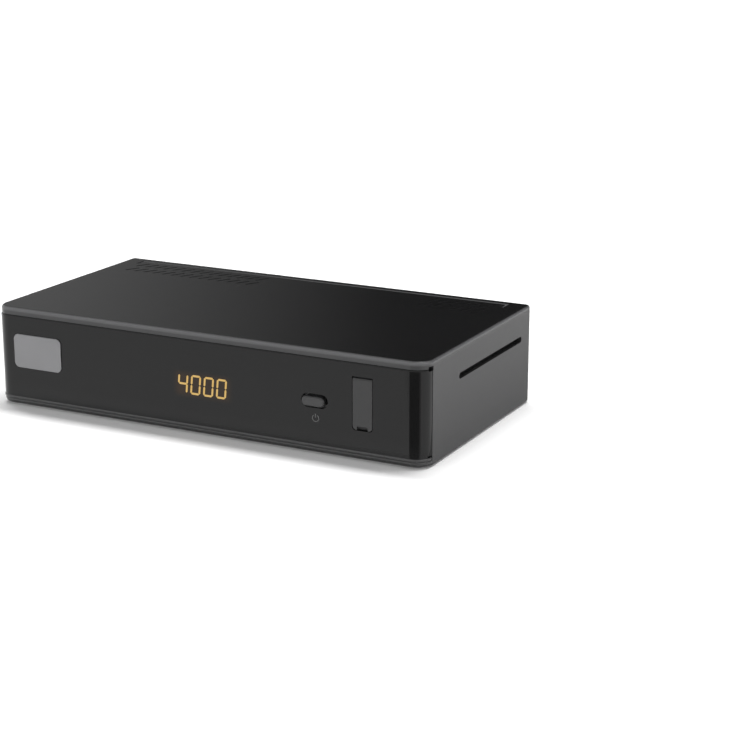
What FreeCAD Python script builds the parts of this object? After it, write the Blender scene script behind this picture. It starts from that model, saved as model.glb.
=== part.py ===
import FreeCAD, Part
import math
import os
import re
import Sketcher

# A compact satellite television receiver, in millimetres.
# +X runs to the right seen from the front, the fascia faces -Y, +Z is up.
# The origin lies on the resting plane, below the centre of the bounding box.

SIZES = {
    # case
    "case_width": 181.6,
    "case_depth": 94.4,
    "case_height": 37.9,
    "wall": 2.0,
    "roof": 2.0,
    "floor_thickness": 2.0,
    "front_corner_radius": 6.0,
    "rear_corner_radius": 2.0,
    "top_edge_radius": 1.2,
    "tray_edge_bevel": 0.4,
    "fit_gap": 0.15,
    # front band, lip and seams
    "band_height": 2.9,
    "band_setback": 0.4,
    "lip_height": 1.9,
    "groove_height": 0.3,
    "seam_depth": 6.1,
    "seam_gap": 0.5,
    "fascia_thickness": 1.8,
    "fascia_bevel": 0.4,
    "notch_width": 2.6,
    "notch_height": 1.6,
    # roof details
    "roof_groove_margin": 4.0,
    "roof_groove_side": 7.6,
    "roof_groove_width": 1.2,
    "roof_groove_depth": 0.6,
    "roof_groove_return": 5.5,
    "roof_groove_bevel": 0.5,
    "vent_length": 5.5,
    "vent_width": 1.1,
    "vent_slant": 3.0,
    "vent_pitch": 4.4,
    "vent_row_margin": 8.0,
    "vent_row_spacing": 8.0,
    "left_vent_margin": 10.0,
    "left_vent_count": 14,
    "right_vent_margin": 12.0,
    "right_vent_count": 6,
    # card slot in the right side
    "card_slot_margin": 9.4,
    "card_slot_length": 57.0,
    "card_slot_height": 2.3,
    "card_slot_level": 26.4,
    # screws, lugs and feet
    "lug_radius": 4.2,
    "lug_height": 14.0,
    "lug_sink": 0.5,
    "front_lug_depth": 13.6,
    "rear_lug_margin": 8.6,
    "screw_seat_height": 1.6,
    "screw_seat_radius": 3.4,
    "screw_head_radius": 2.7,
    "screw_head_height": 1.7,
    "screw_head_gap": 0.25,
    "screw_shank_radius": 1.5,
    "screw_pilot_radius": 1.5,
    "screw_hole_gap": 0.2,
    "case_screw_length": 11.0,
    "foot_radius": 5.0,
    "foot_taper": 0.5,
    "foot_height": 0.8,
    "foot_recess": 0.6,
    "foot_margin_x": 20.0,
    "foot_margin_y": 13.0,
    # tray
    "rim_height": 4.5,
    "rim_thickness": 1.4,
    "floor_vent_length": 22.0,
    "floor_vent_width": 2.0,
    "floor_vent_pitch": 5.0,
    "floor_vent_count": 11,
    # main board
    "board_thickness": 1.6,
    "board_post_height": 5.2,
    "board_post_radius": 3.0,
    "board_side_gap": 11.0,
    "board_front": 13.0,
    "board_rear_gap": 3.0,
    "board_screw_inset": 5.0,
    "board_screw_length": 6.0,
    "front_board_screw_depth": 18.5,
    "rear_board_screw_margin": 34.0,
    # front frame and display board
    "frame_thickness": 1.6,
    "frame_flange_depth": 2.4,
    "frame_flange_thickness": 1.4,
    "display_inset": 88.2,
    "display_z": 17.9,
    "display_width": 30.0,
    "display_height": 14.0,
    "display_depth": 7.0,
    "display_board_left_inset": 44.0,
    "display_board_right_inset": 32.0,
    "display_board_bottom": 6.4,
    "display_board_top": 32.4,
    "display_screw_inset": 4.0,
    "display_post_radius": 2.3,
    "display_pilot_radius": 1.0,
    "infrared_inset": 59.0,
    "infrared_radius": 2.5,
    # power button
    "button_inset": 43.0,
    "button_z": 19.0,
    "button_width": 9.1,
    "button_height": 3.6,
    "button_gap": 0.8,
    "button_proud": 1.6,
    "button_bevel": 0.4,
    "button_flange": 0.6,
    "button_flange_thickness": 0.8,
    "button_stem_radius": 1.7,
    "button_travel": 0.4,
    "switch_size": 6.0,
    "switch_depth": 3.5,
    "plunger_radius": 1.7,
    "plunger_reach": 1.1,
    "plunger_sink": 0.8,
    "plunger_gap": 0.05,
    # flap over the usb socket
    "door_inset": 24.1,
    "door_bottom": 10.75,
    "door_width": 7.6,
    "door_height": 19.05,
    "door_thickness": 1.4,
    "door_gap": 0.22,
    "door_knuckle_radius": 1.2,
    "door_pin_radius": 0.55,
    "door_pin_length": 1.2,
    "door_pin_gap": 0.05,
    "door_corner_radius": 1.3,
    "door_notch_width": 4.2,
    "door_notch_height": 1.3,
    # usb socket
    "usb_face": 3.6,
    "usb_length": 14.0,
    "usb_width": 5.8,
    "usb_height": 13.0,
    "usb_level": 13.2,
    "usb_skin": 0.35,
    "usb_tongue_thickness": 1.85,
    "usb_tongue_height": 11.1,
    "usb_tongue_setback": 1.2,
    "usb_tongue_shift": 0.7,
    # rear connectors
    "connector_reach": 10.0,
    "panel_thickness": 1.2,
    "panel_recess": 0.8,
    "panel_hole_gap": 0.3,
    "tuner_inset": 27.0,
    "tuner_width": 34.0,
    "tuner_length": 26.0,
    "tuner_height": 14.0,
    "lnb_spacing": 18.0,
    "lnb_radius": 4.76,
    "lnb_mouth_radius": 3.2,
    "lnb_mouth_depth": 7.0,
    "lnb_wire_radius": 0.6,
    "lnb_flange_radius": 5.6,
    "lnb_flange_proud": 1.0,
    "scart_width": 47.0,
    "scart_height": 20.0,
    "scart_length": 16.0,
    "scart_shroud_width": 43.0,
    "scart_shroud_height": 13.5,
    "scart_shroud_reach": 2.5,
    "scart_shroud_wall": 1.0,
    "scart_slant": 4.5,
    "scart_contact_pitch": 3.8,
    "scart_contact_count": 10,
    "ethernet_width": 16.0,
    "ethernet_height": 13.5,
    "ethernet_length": 16.0,
    "ethernet_mouth_width": 11.8,
    "ethernet_mouth_height": 6.8,
    "ethernet_mouth_depth": 12.0,
    "ethernet_latch_width": 6.0,
    "ethernet_latch_height": 2.4,
    "hdmi_width": 15.0,
    "hdmi_height": 6.0,
    "hdmi_length": 12.0,
    "hdmi_skin": 0.5,
    "hdmi_slant": 1.8,
    "hdmi_tongue_width": 10.0,
    "hdmi_tongue_thickness": 1.2,
    "spdif_width": 10.0,
    "spdif_height": 12.0,
    "spdif_length": 10.0,
    "spdif_barrel_radius": 4.15,
    "spdif_bore_radius": 1.7,
    "spdif_collar_radius": 5.0,
    "spdif_collar_proud": 0.6,
    "spdif_reach": 8.5,
    "inlet_inset": 17.0,
    "inlet_width": 9.0,
    "inlet_height": 11.0,
    "inlet_length": 14.0,
    "inlet_bore_radius": 3.15,
    "inlet_bore_depth": 10.0,
    "inlet_pin_radius": 1.05,
    # card reader
    "reader_inset": 0.6,
    "reader_length": 52.0,
    "reader_width": 59.0,
    "reader_floor": 1.6,
    "reader_lid": 1.3,
    "card_passage_width": 54.6,
    "card_passage_height": 1.0,
    "card_passage_depth": 48.0,
    "reader_skin": 0.4,
    "reader_window_length": 16.0,
    "reader_window_width": 12.0,
    "reader_window_depth": 30.0,
    "contact_width": 1.2,
    "contact_length": 6.0,
    "contact_thickness": 0.3,
    "contact_pitch": 2.54,
    "contact_rows_apart": 7.62,
    "reader_board_thickness": 1.2,
    "reader_spacer_radius": 2.0,
    "reader_spacer_inset": 5.0,
    "reader_spacer_right_inset": 11.4,
    "ribbon_width": 10.0,
    "ribbon_thickness": 0.4,
    "ribbon_bulge": 4.0,
    # parts on the main board
    "processor_x": -8.0,
    "processor_depth": 46.0,
    "processor_size": 19.0,
    "processor_height": 1.8,
    "heatsink_size": 28.0,
    "heatsink_base": 2.0,
    "heatsink_height": 10.0,
    "fin_thickness": 1.2,
    "fin_count": 8,
    "memory_length": 14.0,
    "memory_width": 9.0,
    "memory_height": 1.2,
    "memory_gap": 6.0,
    "flash_size": 6.0,
    "flash_height": 1.8,
    "flash_x": -34.0,
    "crystal_x": 18.0,
    "crystal_length": 11.0,
    "crystal_width": 4.6,
    "crystal_height": 3.6,
    "capacitor_radius": 3.15,
    "capacitor_height": 11.0,
    "capacitor_pitch": 9.0,
    "capacitor_count": 3,
    "capacitor_first_inset": 49.0,
    "capacitor_margin": 30.0,
    "inductor_size": 7.0,
    "inductor_height": 4.0,
    "inductor_winding_radius": 2.9,
    "inductor_rim": 0.7,
    "inductor_margin": 40.0,
    "regulator_length": 6.5,
    "regulator_width": 3.5,
    "regulator_height": 1.6,
    "regulator_margin": 50.0,
}

doc = FreeCAD.newDocument("satellite_receiver")
sheet = doc.addObject("Spreadsheet::Sheet", "Sizes")
for row, (alias, number) in enumerate(SIZES.items(), start=1):
    sheet.set("A%d" % row, alias)
    sheet.set("B%d" % row, str(number))
    sheet.setAlias("B%d" % row, alias)
doc.recompute()

# Planes that many pieces share, as expressions of the sheet's sizes.
FRONT = "((button_proud - case_depth - connector_reach) / 2)"
REAR = "(%s + case_depth)" % FRONT
BASE = "foot_height"
TOP = "(foot_height + case_height)"
SIDE = "(case_width / 2)"
INNER_SIDE = "(case_width / 2 - wall)"
CEILING = "(%s - roof)" % TOP
BAND_FRONT = "(%s + band_setback)" % FRONT
BAND_BOTTOM = "(%s - band_height)" % TOP
LIP_TOP = "(foot_height + lip_height)"
FASCIA_BOTTOM = "(%s + groove_height)" % LIP_TOP
SEAM = "(%s + seam_depth)" % FRONT
FLOOR_TOP = "(foot_height + floor_thickness)"
SEAT_TOP = "(%s + screw_seat_height)" % FLOOR_TOP
PANEL_BACK = "(%s - panel_recess)" % REAR
PANEL_FRONT = "(%s - panel_thickness)" % PANEL_BACK
BOARD_BOTTOM = "(%s + board_post_height)" % FLOOR_TOP
BOARD_TOP = "(%s + board_thickness)" % BOARD_BOTTOM
FRAME_FRONT = "(%s + fascia_thickness)" % FRONT
FRAME_BACK = "(%s + frame_thickness)" % FRAME_FRONT
DISPLAY_FACE = "(%s + 2 * fit_gap)" % FRAME_FRONT
DISPLAY_BOARD_FRONT = "(%s + display_depth)" % DISPLAY_FACE
DISPLAY_BOARD_BACK = "(%s + board_thickness)" % DISPLAY_BOARD_FRONT
DISPLAY_LEVEL = "(foot_height + display_z)"
BUTTON_LEVEL = "(foot_height + button_z)"
DOOR_BOTTOM = "(foot_height + door_bottom)"
DOOR_TOP = "(%s + door_height)" % DOOR_BOTTOM
HINGE_Y = "(%s + door_knuckle_radius)" % FRONT
HINGE_Z = "(%s - door_knuckle_radius)" % DOOR_TOP
CARD_LEVEL = "(foot_height + card_slot_level)"
CARD_Y = "(%s - card_slot_margin - card_slot_length / 2)" % REAR
READER_RIGHT = "(%s - reader_inset)" % INNER_SIDE
READER_LEFT = "(%s - reader_length)" % READER_RIGHT
READER_BOTTOM = "(%s - card_passage_height / 2 - reader_floor)" % CARD_LEVEL
READER_TOP = "(%s + card_passage_height / 2 + reader_lid)" % CARD_LEVEL
READER_BOARD_BOTTOM = "(%s - reader_board_thickness)" % READER_BOTTOM
LUG_X = "(%s - lug_radius + lug_sink)" % INNER_SIDE
FRONT_LUG_Y = "(%s + front_lug_depth)" % FRONT
REAR_LUG_Y = "(%s - rear_lug_margin)" % REAR
DISPLAY_X = "(%s - display_inset)" % SIDE
BUTTON_X = "(%s - button_inset)" % SIDE
DOOR_X = "(%s - door_inset)" % SIDE
INFRARED_X = "(%s - infrared_inset)" % SIDE
DISPLAY_BOARD_LEFT = "(display_board_left_inset - %s)" % SIDE
DISPLAY_BOARD_RIGHT = "(%s - display_board_right_inset)" % SIDE
BOARD_REACH = "(%s - board_side_gap)" % SIDE
TUNER_X = "(tuner_inset - %s)" % SIDE
INLET_X = "(%s - inlet_inset)" % SIDE
SOCKET_ROW = ("scart", "ethernet", "hdmi", "spdif")
SOCKET_GAP = "((%s - inlet_width / 2 - %s - tuner_width / 2 - %s) / %d)" % (
    INLET_X, TUNER_X, " - ".join("%s_width" % name for name in SOCKET_ROW), len(SOCKET_ROW) + 1)
CORNER_SIGNS = [(-1, -1), (1, -1), (-1, 1), (1, 1)]
HEAD_SIDES = 6
SHANK_SIDES = 8
ROUND_SIDES = 16

sub_parts = []


def cells(text):
    """Turns the plain size names in an expression into references to the sheet."""
    return re.sub(r"[a-z][a-z_]+", lambda word: "Sizes." + word.group(0), str(text))


def value(text):
    """The number that an expression of the sheet's sizes has now."""
    return float(sheet.evalExpression(cells(text)))


def bind(item, path, text):
    """Ties one property of an object to the sheet."""
    item.setExpression(path, cells(text))


def finish(item, label):
    """Names a finished sub-part and keeps it for the export."""
    item.Label = label
    sub_parts.append(item)
    doc.recompute()
    return item


def new_body(name):
    """An empty body for a piece that is built feature by feature."""
    return doc.addObject("PartDesign::Body", name)


def sketch_on(body, role, height, name):
    """A sketch on one of the body's own planes, lifted along that plane's normal."""
    sketch = body.newObject("Sketcher::SketchObject", name)
    plane = [item for item in body.Origin.OriginFeatures if item.Role == role][0]
    sketch.AttachmentSupport = (plane, "")
    sketch.MapMode = "FlatFace"
    bind(sketch, "AttachmentOffset.Base.z", height)
    return sketch


def fix(sketch, kind, *target):
    """Adds one dimension to a sketch and ties it to an expression."""
    text = target[-1]
    number = sketch.addConstraint(Sketcher.Constraint(kind, *target[:-1], value(text)))
    bind(sketch, "Constraints[%d]" % number, text)


def draw_polygon(sketch, corners):
    """A closed outline of straight edges whose corners are pairs of expressions."""
    first = sketch.GeometryCount
    spots = [FreeCAD.Vector(value(across), value(along), 0) for across, along in corners]
    count = len(corners)
    for index in range(count):
        sketch.addGeometry(Part.LineSegment(spots[index], spots[(index + 1) % count]))
    for index in range(count):
        after = first + (index + 1) % count
        sketch.addConstraint(Sketcher.Constraint("Coincident", first + index, 2, after, 1))
    for index, (across, along) in enumerate(corners):
        fix(sketch, "DistanceX", -1, 1, first + index, 1, across)
        fix(sketch, "DistanceY", -1, 1, first + index, 1, along)


def draw_rectangle(sketch, left, right, low, high):
    """A rectangle between two pairs of expressions."""
    draw_polygon(sketch, [(left, low), (right, low), (right, high), (left, high)])


def draw_circle(sketch, across, along, radius):
    """A circle with its centre and radius tied to expressions."""
    centre = FreeCAD.Vector(value(across), value(along), 0)
    index = sketch.addGeometry(Part.Circle(centre, FreeCAD.Vector(0, 0, 1), value(radius)))
    fix(sketch, "DistanceX", -1, 1, index, 3, across)
    fix(sketch, "DistanceY", -1, 1, index, 3, along)
    fix(sketch, "Radius", index, radius)


def draw_octagon(sketch, across, along, radius):
    """A regular octagon drawn round a circle of the given radius, with flats towards both axes."""
    corner = "%.9f * (%s)" % (math.tan(math.pi / 8), radius)
    full = "(%s)" % radius
    draw_polygon(sketch, [
        ("%s + %s" % (across, full), "%s + %s" % (along, corner)),
        ("%s + %s" % (across, corner), "%s + %s" % (along, full)),
        ("%s - %s" % (across, corner), "%s + %s" % (along, full)),
        ("%s - %s" % (across, full), "%s + %s" % (along, corner)),
        ("%s - %s" % (across, full), "%s - %s" % (along, corner)),
        ("%s - %s" % (across, corner), "%s - %s" % (along, full)),
        ("%s + %s" % (across, corner), "%s - %s" % (along, full)),
        ("%s + %s" % (across, full), "%s - %s" % (along, corner)),
    ])


def draw_pill(sketch, across, along, length, width):
    """A slot outline: two half circles joined by two straight edges."""
    half = "((%s) - (%s)) / 2" % (length, width)
    radius = "(%s) / 2" % width
    normal = FreeCAD.Vector(0, 0, 1)
    quarter = 1.5707963267948966
    right = FreeCAD.Vector(value("%s + %s" % (across, half)), value(along), 0)
    left = FreeCAD.Vector(value("%s - %s" % (across, half)), value(along), 0)
    rise = FreeCAD.Vector(0, value(radius), 0)
    first = sketch.GeometryCount
    right_circle = Part.Circle(right, normal, value(radius))
    left_circle = Part.Circle(left, normal, value(radius))
    sketch.addGeometry(Part.ArcOfCircle(right_circle, -quarter, quarter))
    sketch.addGeometry(Part.LineSegment(right + rise, left + rise))
    sketch.addGeometry(Part.ArcOfCircle(left_circle, quarter, 3 * quarter))
    sketch.addGeometry(Part.LineSegment(left - rise, right - rise))
    for index in range(4):
        after = first + (index + 1) % 4
        sketch.addConstraint(Sketcher.Constraint("Coincident", first + index, 2, after, 1))
    for arc in (first, first + 2):
        sketch.addConstraint(Sketcher.Constraint("Vertical", arc, 1, arc, 3))
        sketch.addConstraint(Sketcher.Constraint("Vertical", arc, 2, arc, 3))
        fix(sketch, "DistanceY", -1, 1, arc, 3, along)
        fix(sketch, "Radius", arc, radius)
    fix(sketch, "DistanceX", -1, 1, first, 3, "%s + %s" % (across, half))
    fix(sketch, "DistanceX", -1, 1, first + 2, 3, "%s - %s" % (across, half))


def extrude(body, kind, sketch, length, backwards):
    """A Pad or Pocket of a sketch, checked for having changed the solid."""
    doc.recompute()
    before = body.Shape.Volume if body.Tip else 0.0
    feature = body.newObject("PartDesign::" + kind, sketch.Name + "_" + kind.lower())
    feature.Profile = sketch
    bind(feature, "Length", length)
    feature.Reversed = backwards
    doc.recompute()
    if abs(feature.Shape.Volume - before) < 1e-6:
        raise RuntimeError(feature.Name + " changed nothing")
    return feature


def pad(body, sketch, length, backwards=False):
    """Adds material along the sketch's normal."""
    return extrude(body, "Pad", sketch, length, backwards)


def pocket(body, sketch, length, backwards=False):
    """Removes material against the sketch's normal, or along it when backwards."""
    return extrude(body, "Pocket", sketch, length, backwards)


def dress(body, kind, size_name, size, chosen, name):
    """Rounds or bevels those edges of the newest feature that the test picks."""
    base = body.Tip
    edges = ["Edge%d" % (index + 1) for index, edge in enumerate(base.Shape.Edges) if chosen(edge)]
    feature = body.newObject("PartDesign::" + kind, name)
    feature.Base = (base, edges)
    bind(feature, size_name, size)
    doc.recompute()
    return feature


def fillet(body, radius, chosen, name):
    """Rounds the chosen edges."""
    return dress(body, "Fillet", "Radius", radius, chosen, name)


def chamfer(body, size, chosen, name):
    """Bevels the chosen edges."""
    return dress(body, "Chamfer", "Size", size, chosen, name)


def repeat(body, feature, sketch, axis, length, count):
    """Repeats a feature in a row along one of its sketch's axes."""
    pattern = body.newObject("PartDesign::LinearPattern", feature.Name + "_row")
    pattern.Originals = [feature]
    pattern.Direction = (sketch, [axis])
    bind(pattern, "Length", length)
    bind(pattern, "Occurrences", count)
    body.Tip = pattern
    doc.recompute()
    return pattern


def close(first, second):
    """Whether two lengths agree to a hundredth of a millimetre."""
    return abs(first - second) < 0.01


def is_upright(edge):
    """Whether an edge is straight and runs along Z."""
    box = edge.BoundBox
    return box.XLength < 0.001 and box.YLength < 0.001 and box.ZLength > 0.001


def is_level_at(edge, height):
    """Whether an edge lies wholly at one height."""
    return close(edge.BoundBox.ZMin, height) and close(edge.BoundBox.ZMax, height)


def place(item, across, along, up):
    """Ties an object's position to three expressions."""
    bind(item, "Placement.Base.x", across)
    bind(item, "Placement.Base.y", along)
    bind(item, "Placement.Base.z", up)


def block(name, low, size):
    """A box given by its lowest corner and its three sizes."""
    item = doc.addObject("Part::Box", name)
    for path, text in zip(("Length", "Width", "Height"), size):
        bind(item, path, text)
    place(item, *low)
    return item


def rod(name, centre, radius, length, axis="Z"):
    """A cylinder that starts at its centre point and runs along Z, Y or X."""
    item = doc.addObject("Part::Cylinder", name)
    turns = {
        "Z": FreeCAD.Rotation(),
        "Y": FreeCAD.Rotation(FreeCAD.Vector(1, 0, 0), -90),
        "X": FreeCAD.Rotation(FreeCAD.Vector(0, 1, 0), 90),
    }
    item.Placement = FreeCAD.Placement(FreeCAD.Vector(), turns[axis])
    bind(item, "Radius", radius)
    bind(item, "Height", length)
    place(item, *centre)
    return item


def prism(name, centre, sides, radius, length, axis="Z"):
    """A regular prism that starts at its centre point and runs along Z or Y."""
    item = doc.addObject("Part::Prism", name)
    item.Polygon = sides
    turn = FreeCAD.Rotation(FreeCAD.Vector(1, 0, 0), -90) if axis == "Y" else FreeCAD.Rotation()
    item.Placement = FreeCAD.Placement(FreeCAD.Vector(), turn)
    bind(item, "Circumradius", radius)
    bind(item, "Height", length)
    place(item, *centre)
    return item


def joined(name, items):
    """One solid fused from several."""
    item = doc.addObject("Part::MultiFuse", name)
    item.Shapes = items
    return item


def carved(name, base, tools):
    """A base solid with one or more tools cut away from it."""
    item = doc.addObject("Part::Cut", name)
    item.Base = base
    item.Tool = tools[0] if len(tools) == 1 else joined(name + "_tools", tools)
    return item


def grouped(name, items):
    """Several separate solids of one kind, kept as one node."""
    item = doc.addObject("Part::Compound", name)
    item.Links = items
    return item


def case_corners():
    """The plan position of the four case screws and their lugs."""
    return [
        ("%s * %s" % (side, LUG_X), FRONT_LUG_Y if end < 0 else REAR_LUG_Y)
        for side, end in CORNER_SIGNS
    ]


def board_corners():
    """The plan position of the four main board screws."""
    reach = "(%s - board_screw_inset)" % BOARD_REACH
    front = "%s + front_board_screw_depth" % FRONT
    rear = "%s - rear_board_screw_margin" % REAR
    return [("%s * %s" % (side, reach), front if end < 0 else rear) for side, end in CORNER_SIGNS]


def foot_corners():
    """The plan position of the four feet."""
    reach = "(%s - foot_margin_x)" % SIDE
    front = "%s + foot_margin_y" % FRONT
    rear = "%s - foot_margin_y" % REAR
    return [("%s * %s" % (side, reach), front if end < 0 else rear) for side, end in CORNER_SIGNS]


def reader_corners():
    """The plan position of the four spacers under the card reader, all over the main board."""
    left = "%s + reader_spacer_inset" % READER_LEFT
    right = "%s - reader_spacer_right_inset" % READER_RIGHT
    near = "%s - reader_width / 2 + reader_spacer_inset" % CARD_Y
    far = "%s + reader_width / 2 - 3 * reader_spacer_inset" % CARD_Y
    return [(left, near), (right, near), (left, far), (right, far)]


def socket_x(name):
    """The X of a rear socket: the row stands evenly between the tuner and the inlet."""
    before = SOCKET_ROW[:SOCKET_ROW.index(name)]
    widths = "".join(" + %s_width" % other for other in before)
    return "(%s + tuner_width / 2 + %d * %s%s + %s_width / 2)" % (
        TUNER_X, len(before) + 1, SOCKET_GAP, widths, name)


def round_case_corners(body, front, reach):
    """Rounds the upright corners of a case outline, large in front and small behind."""
    front_y = value(front)
    fillet(body, "front_corner_radius",
           lambda edge: is_upright(edge) and close(edge.BoundBox.YMin, front_y),
           body.Name + "_front_corners")
    rear_y = value(reach)
    fillet(body, "rear_corner_radius",
           lambda edge: is_upright(edge) and close(edge.BoundBox.YMin, rear_y),
           body.Name + "_rear_corners")


def make_top_cover():
    """The moulded shell: roof, both sides and the band over the fascia."""
    body = new_body("top_cover_body")
    outline = sketch_on(body, "XY_Plane", BASE, "cover_outline")
    draw_rectangle(outline, "-1 * " + SIDE, SIDE, BAND_FRONT, REAR)
    pad(body, outline, "%s - %s" % (TOP, BASE))
    round_case_corners(body, BAND_FRONT, REAR)
    top = value(TOP)
    fillet(body, "top_edge_radius", lambda edge: is_level_at(edge, top), "cover_top_edge")
    hollow_cover(body)
    cut_cover_openings(body)
    cut_roof_details(body)
    add_cover_lugs(body)
    finish(body, "top_cover")


def hollow_cover(body):
    """Empties the shell, opens its front for the fascia and its back for the panel."""
    hollow = sketch_on(body, "XY_Plane", BASE, "cover_hollow")
    inner_front = "%s + wall" % BAND_FRONT
    draw_rectangle(hollow, "-1 * " + INNER_SIDE, INNER_SIDE, inner_front, "%s - wall" % REAR)
    pocket(body, hollow, "%s - %s" % (CEILING, BASE), True)
    front_y = value(inner_front)
    side_x = value(INNER_SIDE)
    fillet(body, "front_corner_radius - wall",
           lambda edge: (is_upright(edge) and close(edge.BoundBox.YMin, front_y)
                         and close(abs(edge.BoundBox.XMin), side_x)), "cover_inner_corners")
    front = sketch_on(body, "XY_Plane", BASE, "cover_front_opening")
    draw_rectangle(front, "-1 * case_width", "case_width", "%s - wall" % FRONT, SEAM)
    pocket(body, front, "%s - %s" % (BAND_BOTTOM, BASE), True)
    rear = sketch_on(body, "XY_Plane", BASE, "cover_rear_opening")
    draw_rectangle(rear, "-1 * " + INNER_SIDE, INNER_SIDE, "%s - 2 * wall" % REAR, "%s + wall" % REAR)
    pocket(body, rear, "%s - %s" % (CEILING, BASE), True)


def cut_cover_openings(body):
    """The card slot in the right side and the small dark notches at the seam."""
    slot = sketch_on(body, "YZ_Plane", "%s + wall" % SIDE, "cover_card_slot")
    draw_pill(slot, CARD_Y, CARD_LEVEL, "card_slot_length", "card_slot_height")
    pocket(body, slot, "3 * wall")
    notch = sketch_on(body, "YZ_Plane", "%s + wall" % SIDE, "cover_seam_notch")
    draw_rectangle(notch, "%s - notch_width + 2 * fit_gap" % SEAM, "%s + 2 * fit_gap" % SEAM,
                   "%s - notch_height / 2" % BAND_BOTTOM, "%s + notch_height / 2" % BAND_BOTTOM)
    pocket(body, notch, "case_width + 2 * wall")


def cut_roof_details(body):
    """The fine groove along the roof's rear edge and the two banks of slanted vents."""
    groove = sketch_on(body, "XY_Plane", TOP, "roof_groove")
    reach = "(%s - roof_groove_side)" % SIDE
    inner = "(%s - roof_groove_width)" % reach
    back = "(%s - roof_groove_margin)" % REAR
    ahead = "(%s - roof_groove_width)" % back
    end = "(%s - roof_groove_return)" % back
    draw_polygon(groove, [
        ("-1 * " + reach, back), ("-1 * " + reach, end), ("-1 * " + inner, end),
        ("-1 * " + inner, ahead),
        (inner, ahead), (inner, end), (reach, end), (reach, back),
    ])
    pocket(body, groove, "roof_groove_depth")
    top = value(TOP)
    back_y = value(back)
    chamfer(body, "roof_groove_bevel",
            lambda edge: is_level_at(edge, top) and close(edge.BoundBox.YMin, back_y), "groove_bevel")
    banks = [
        ("left", "(left_vent_margin - %s)" % SIDE, "left_vent_count"),
        ("right",
         "(%s - right_vent_margin - vent_pitch * (right_vent_count - 1) - vent_slant - vent_width)" % SIDE,
         "right_vent_count"),
    ]
    for name, start, count in banks:
        for line in range(2):
            vents = sketch_on(body, "XY_Plane", TOP, "%s_vents_%d" % (name, line))
            far = "(%s - vent_row_margin - %d * vent_row_spacing)" % (REAR, line)
            near = "(%s - vent_length)" % far
            draw_polygon(vents, [
                (start, near), ("%s + vent_width" % start, near),
                ("%s + vent_width + vent_slant" % start, far), ("%s + vent_slant" % start, far),
            ])
            opening = pocket(body, vents, "2 * roof")
            repeat(body, opening, vents, "H_Axis", "vent_pitch * (%s - 1)" % count, count)


def add_cover_lugs(body):
    """Screw lugs moulded on the side walls, and the ribs that steady the rear panel."""
    lugs = sketch_on(body, "XY_Plane", SEAT_TOP, "cover_lugs")
    for across, along in case_corners():
        draw_octagon(lugs, across, along, "lug_radius")
    pad(body, lugs, "lug_height")
    pilots = sketch_on(body, "XY_Plane", SEAT_TOP, "cover_lug_pilots")
    for across, along in case_corners():
        draw_octagon(pilots, across, along, "screw_pilot_radius")
    pocket(body, pilots, "case_screw_length", True)
    ribs = sketch_on(body, "XY_Plane", "(%s + rim_height)" % LIP_TOP, "panel_ribs")
    for left, right in (("-1 * " + INNER_SIDE, "2 * wall - " + SIDE),
                        (SIDE + " - 2 * wall", INNER_SIDE)):
        draw_rectangle(ribs, left, right, "%s - wall" % PANEL_FRONT, "%s - fit_gap" % PANEL_FRONT)
    pad(body, ribs, "%s - %s - card_slot_height" % (READER_BOARD_BOTTOM, "(%s + rim_height)" % LIP_TOP))


def make_base_tray():
    """The floor of the case with its pale front lip, rim, posts and vents."""
    body = new_body("base_tray_body")
    outline = sketch_on(body, "XY_Plane", BASE, "tray_outline")
    draw_rectangle(outline, "-1 * " + SIDE, SIDE, BAND_FRONT, REAR)
    pad(body, outline, "lip_height")
    round_case_corners(body, BAND_FRONT, REAR)
    base = value(BASE)
    bend_end = value("%s + front_corner_radius" % BAND_FRONT)
    chamfer(body, "tray_edge_bevel",
            lambda edge: is_level_at(edge, base) and edge.BoundBox.YMax < bend_end + 0.001,
            "tray_bottom_edge")
    cut_tray_sides(body)
    add_tray_rim(body)
    add_tray_posts(body)
    cut_tray_floor(body)
    finish(body, "base_tray")


def cut_tray_sides(body):
    """Narrows the tray behind its front lip, where it nests between the cover's sides."""
    sides = sketch_on(body, "XY_Plane", BASE, "tray_side_steps")
    reach = "(%s - fit_gap)" % INNER_SIDE
    for left, right in (("-1 * case_width", "-1 * " + reach), (reach, "case_width")):
        draw_rectangle(sides, left, right, "%s - fit_gap" % SEAM, "%s + wall" % REAR)
    pocket(body, sides, "lip_height", True)


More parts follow.
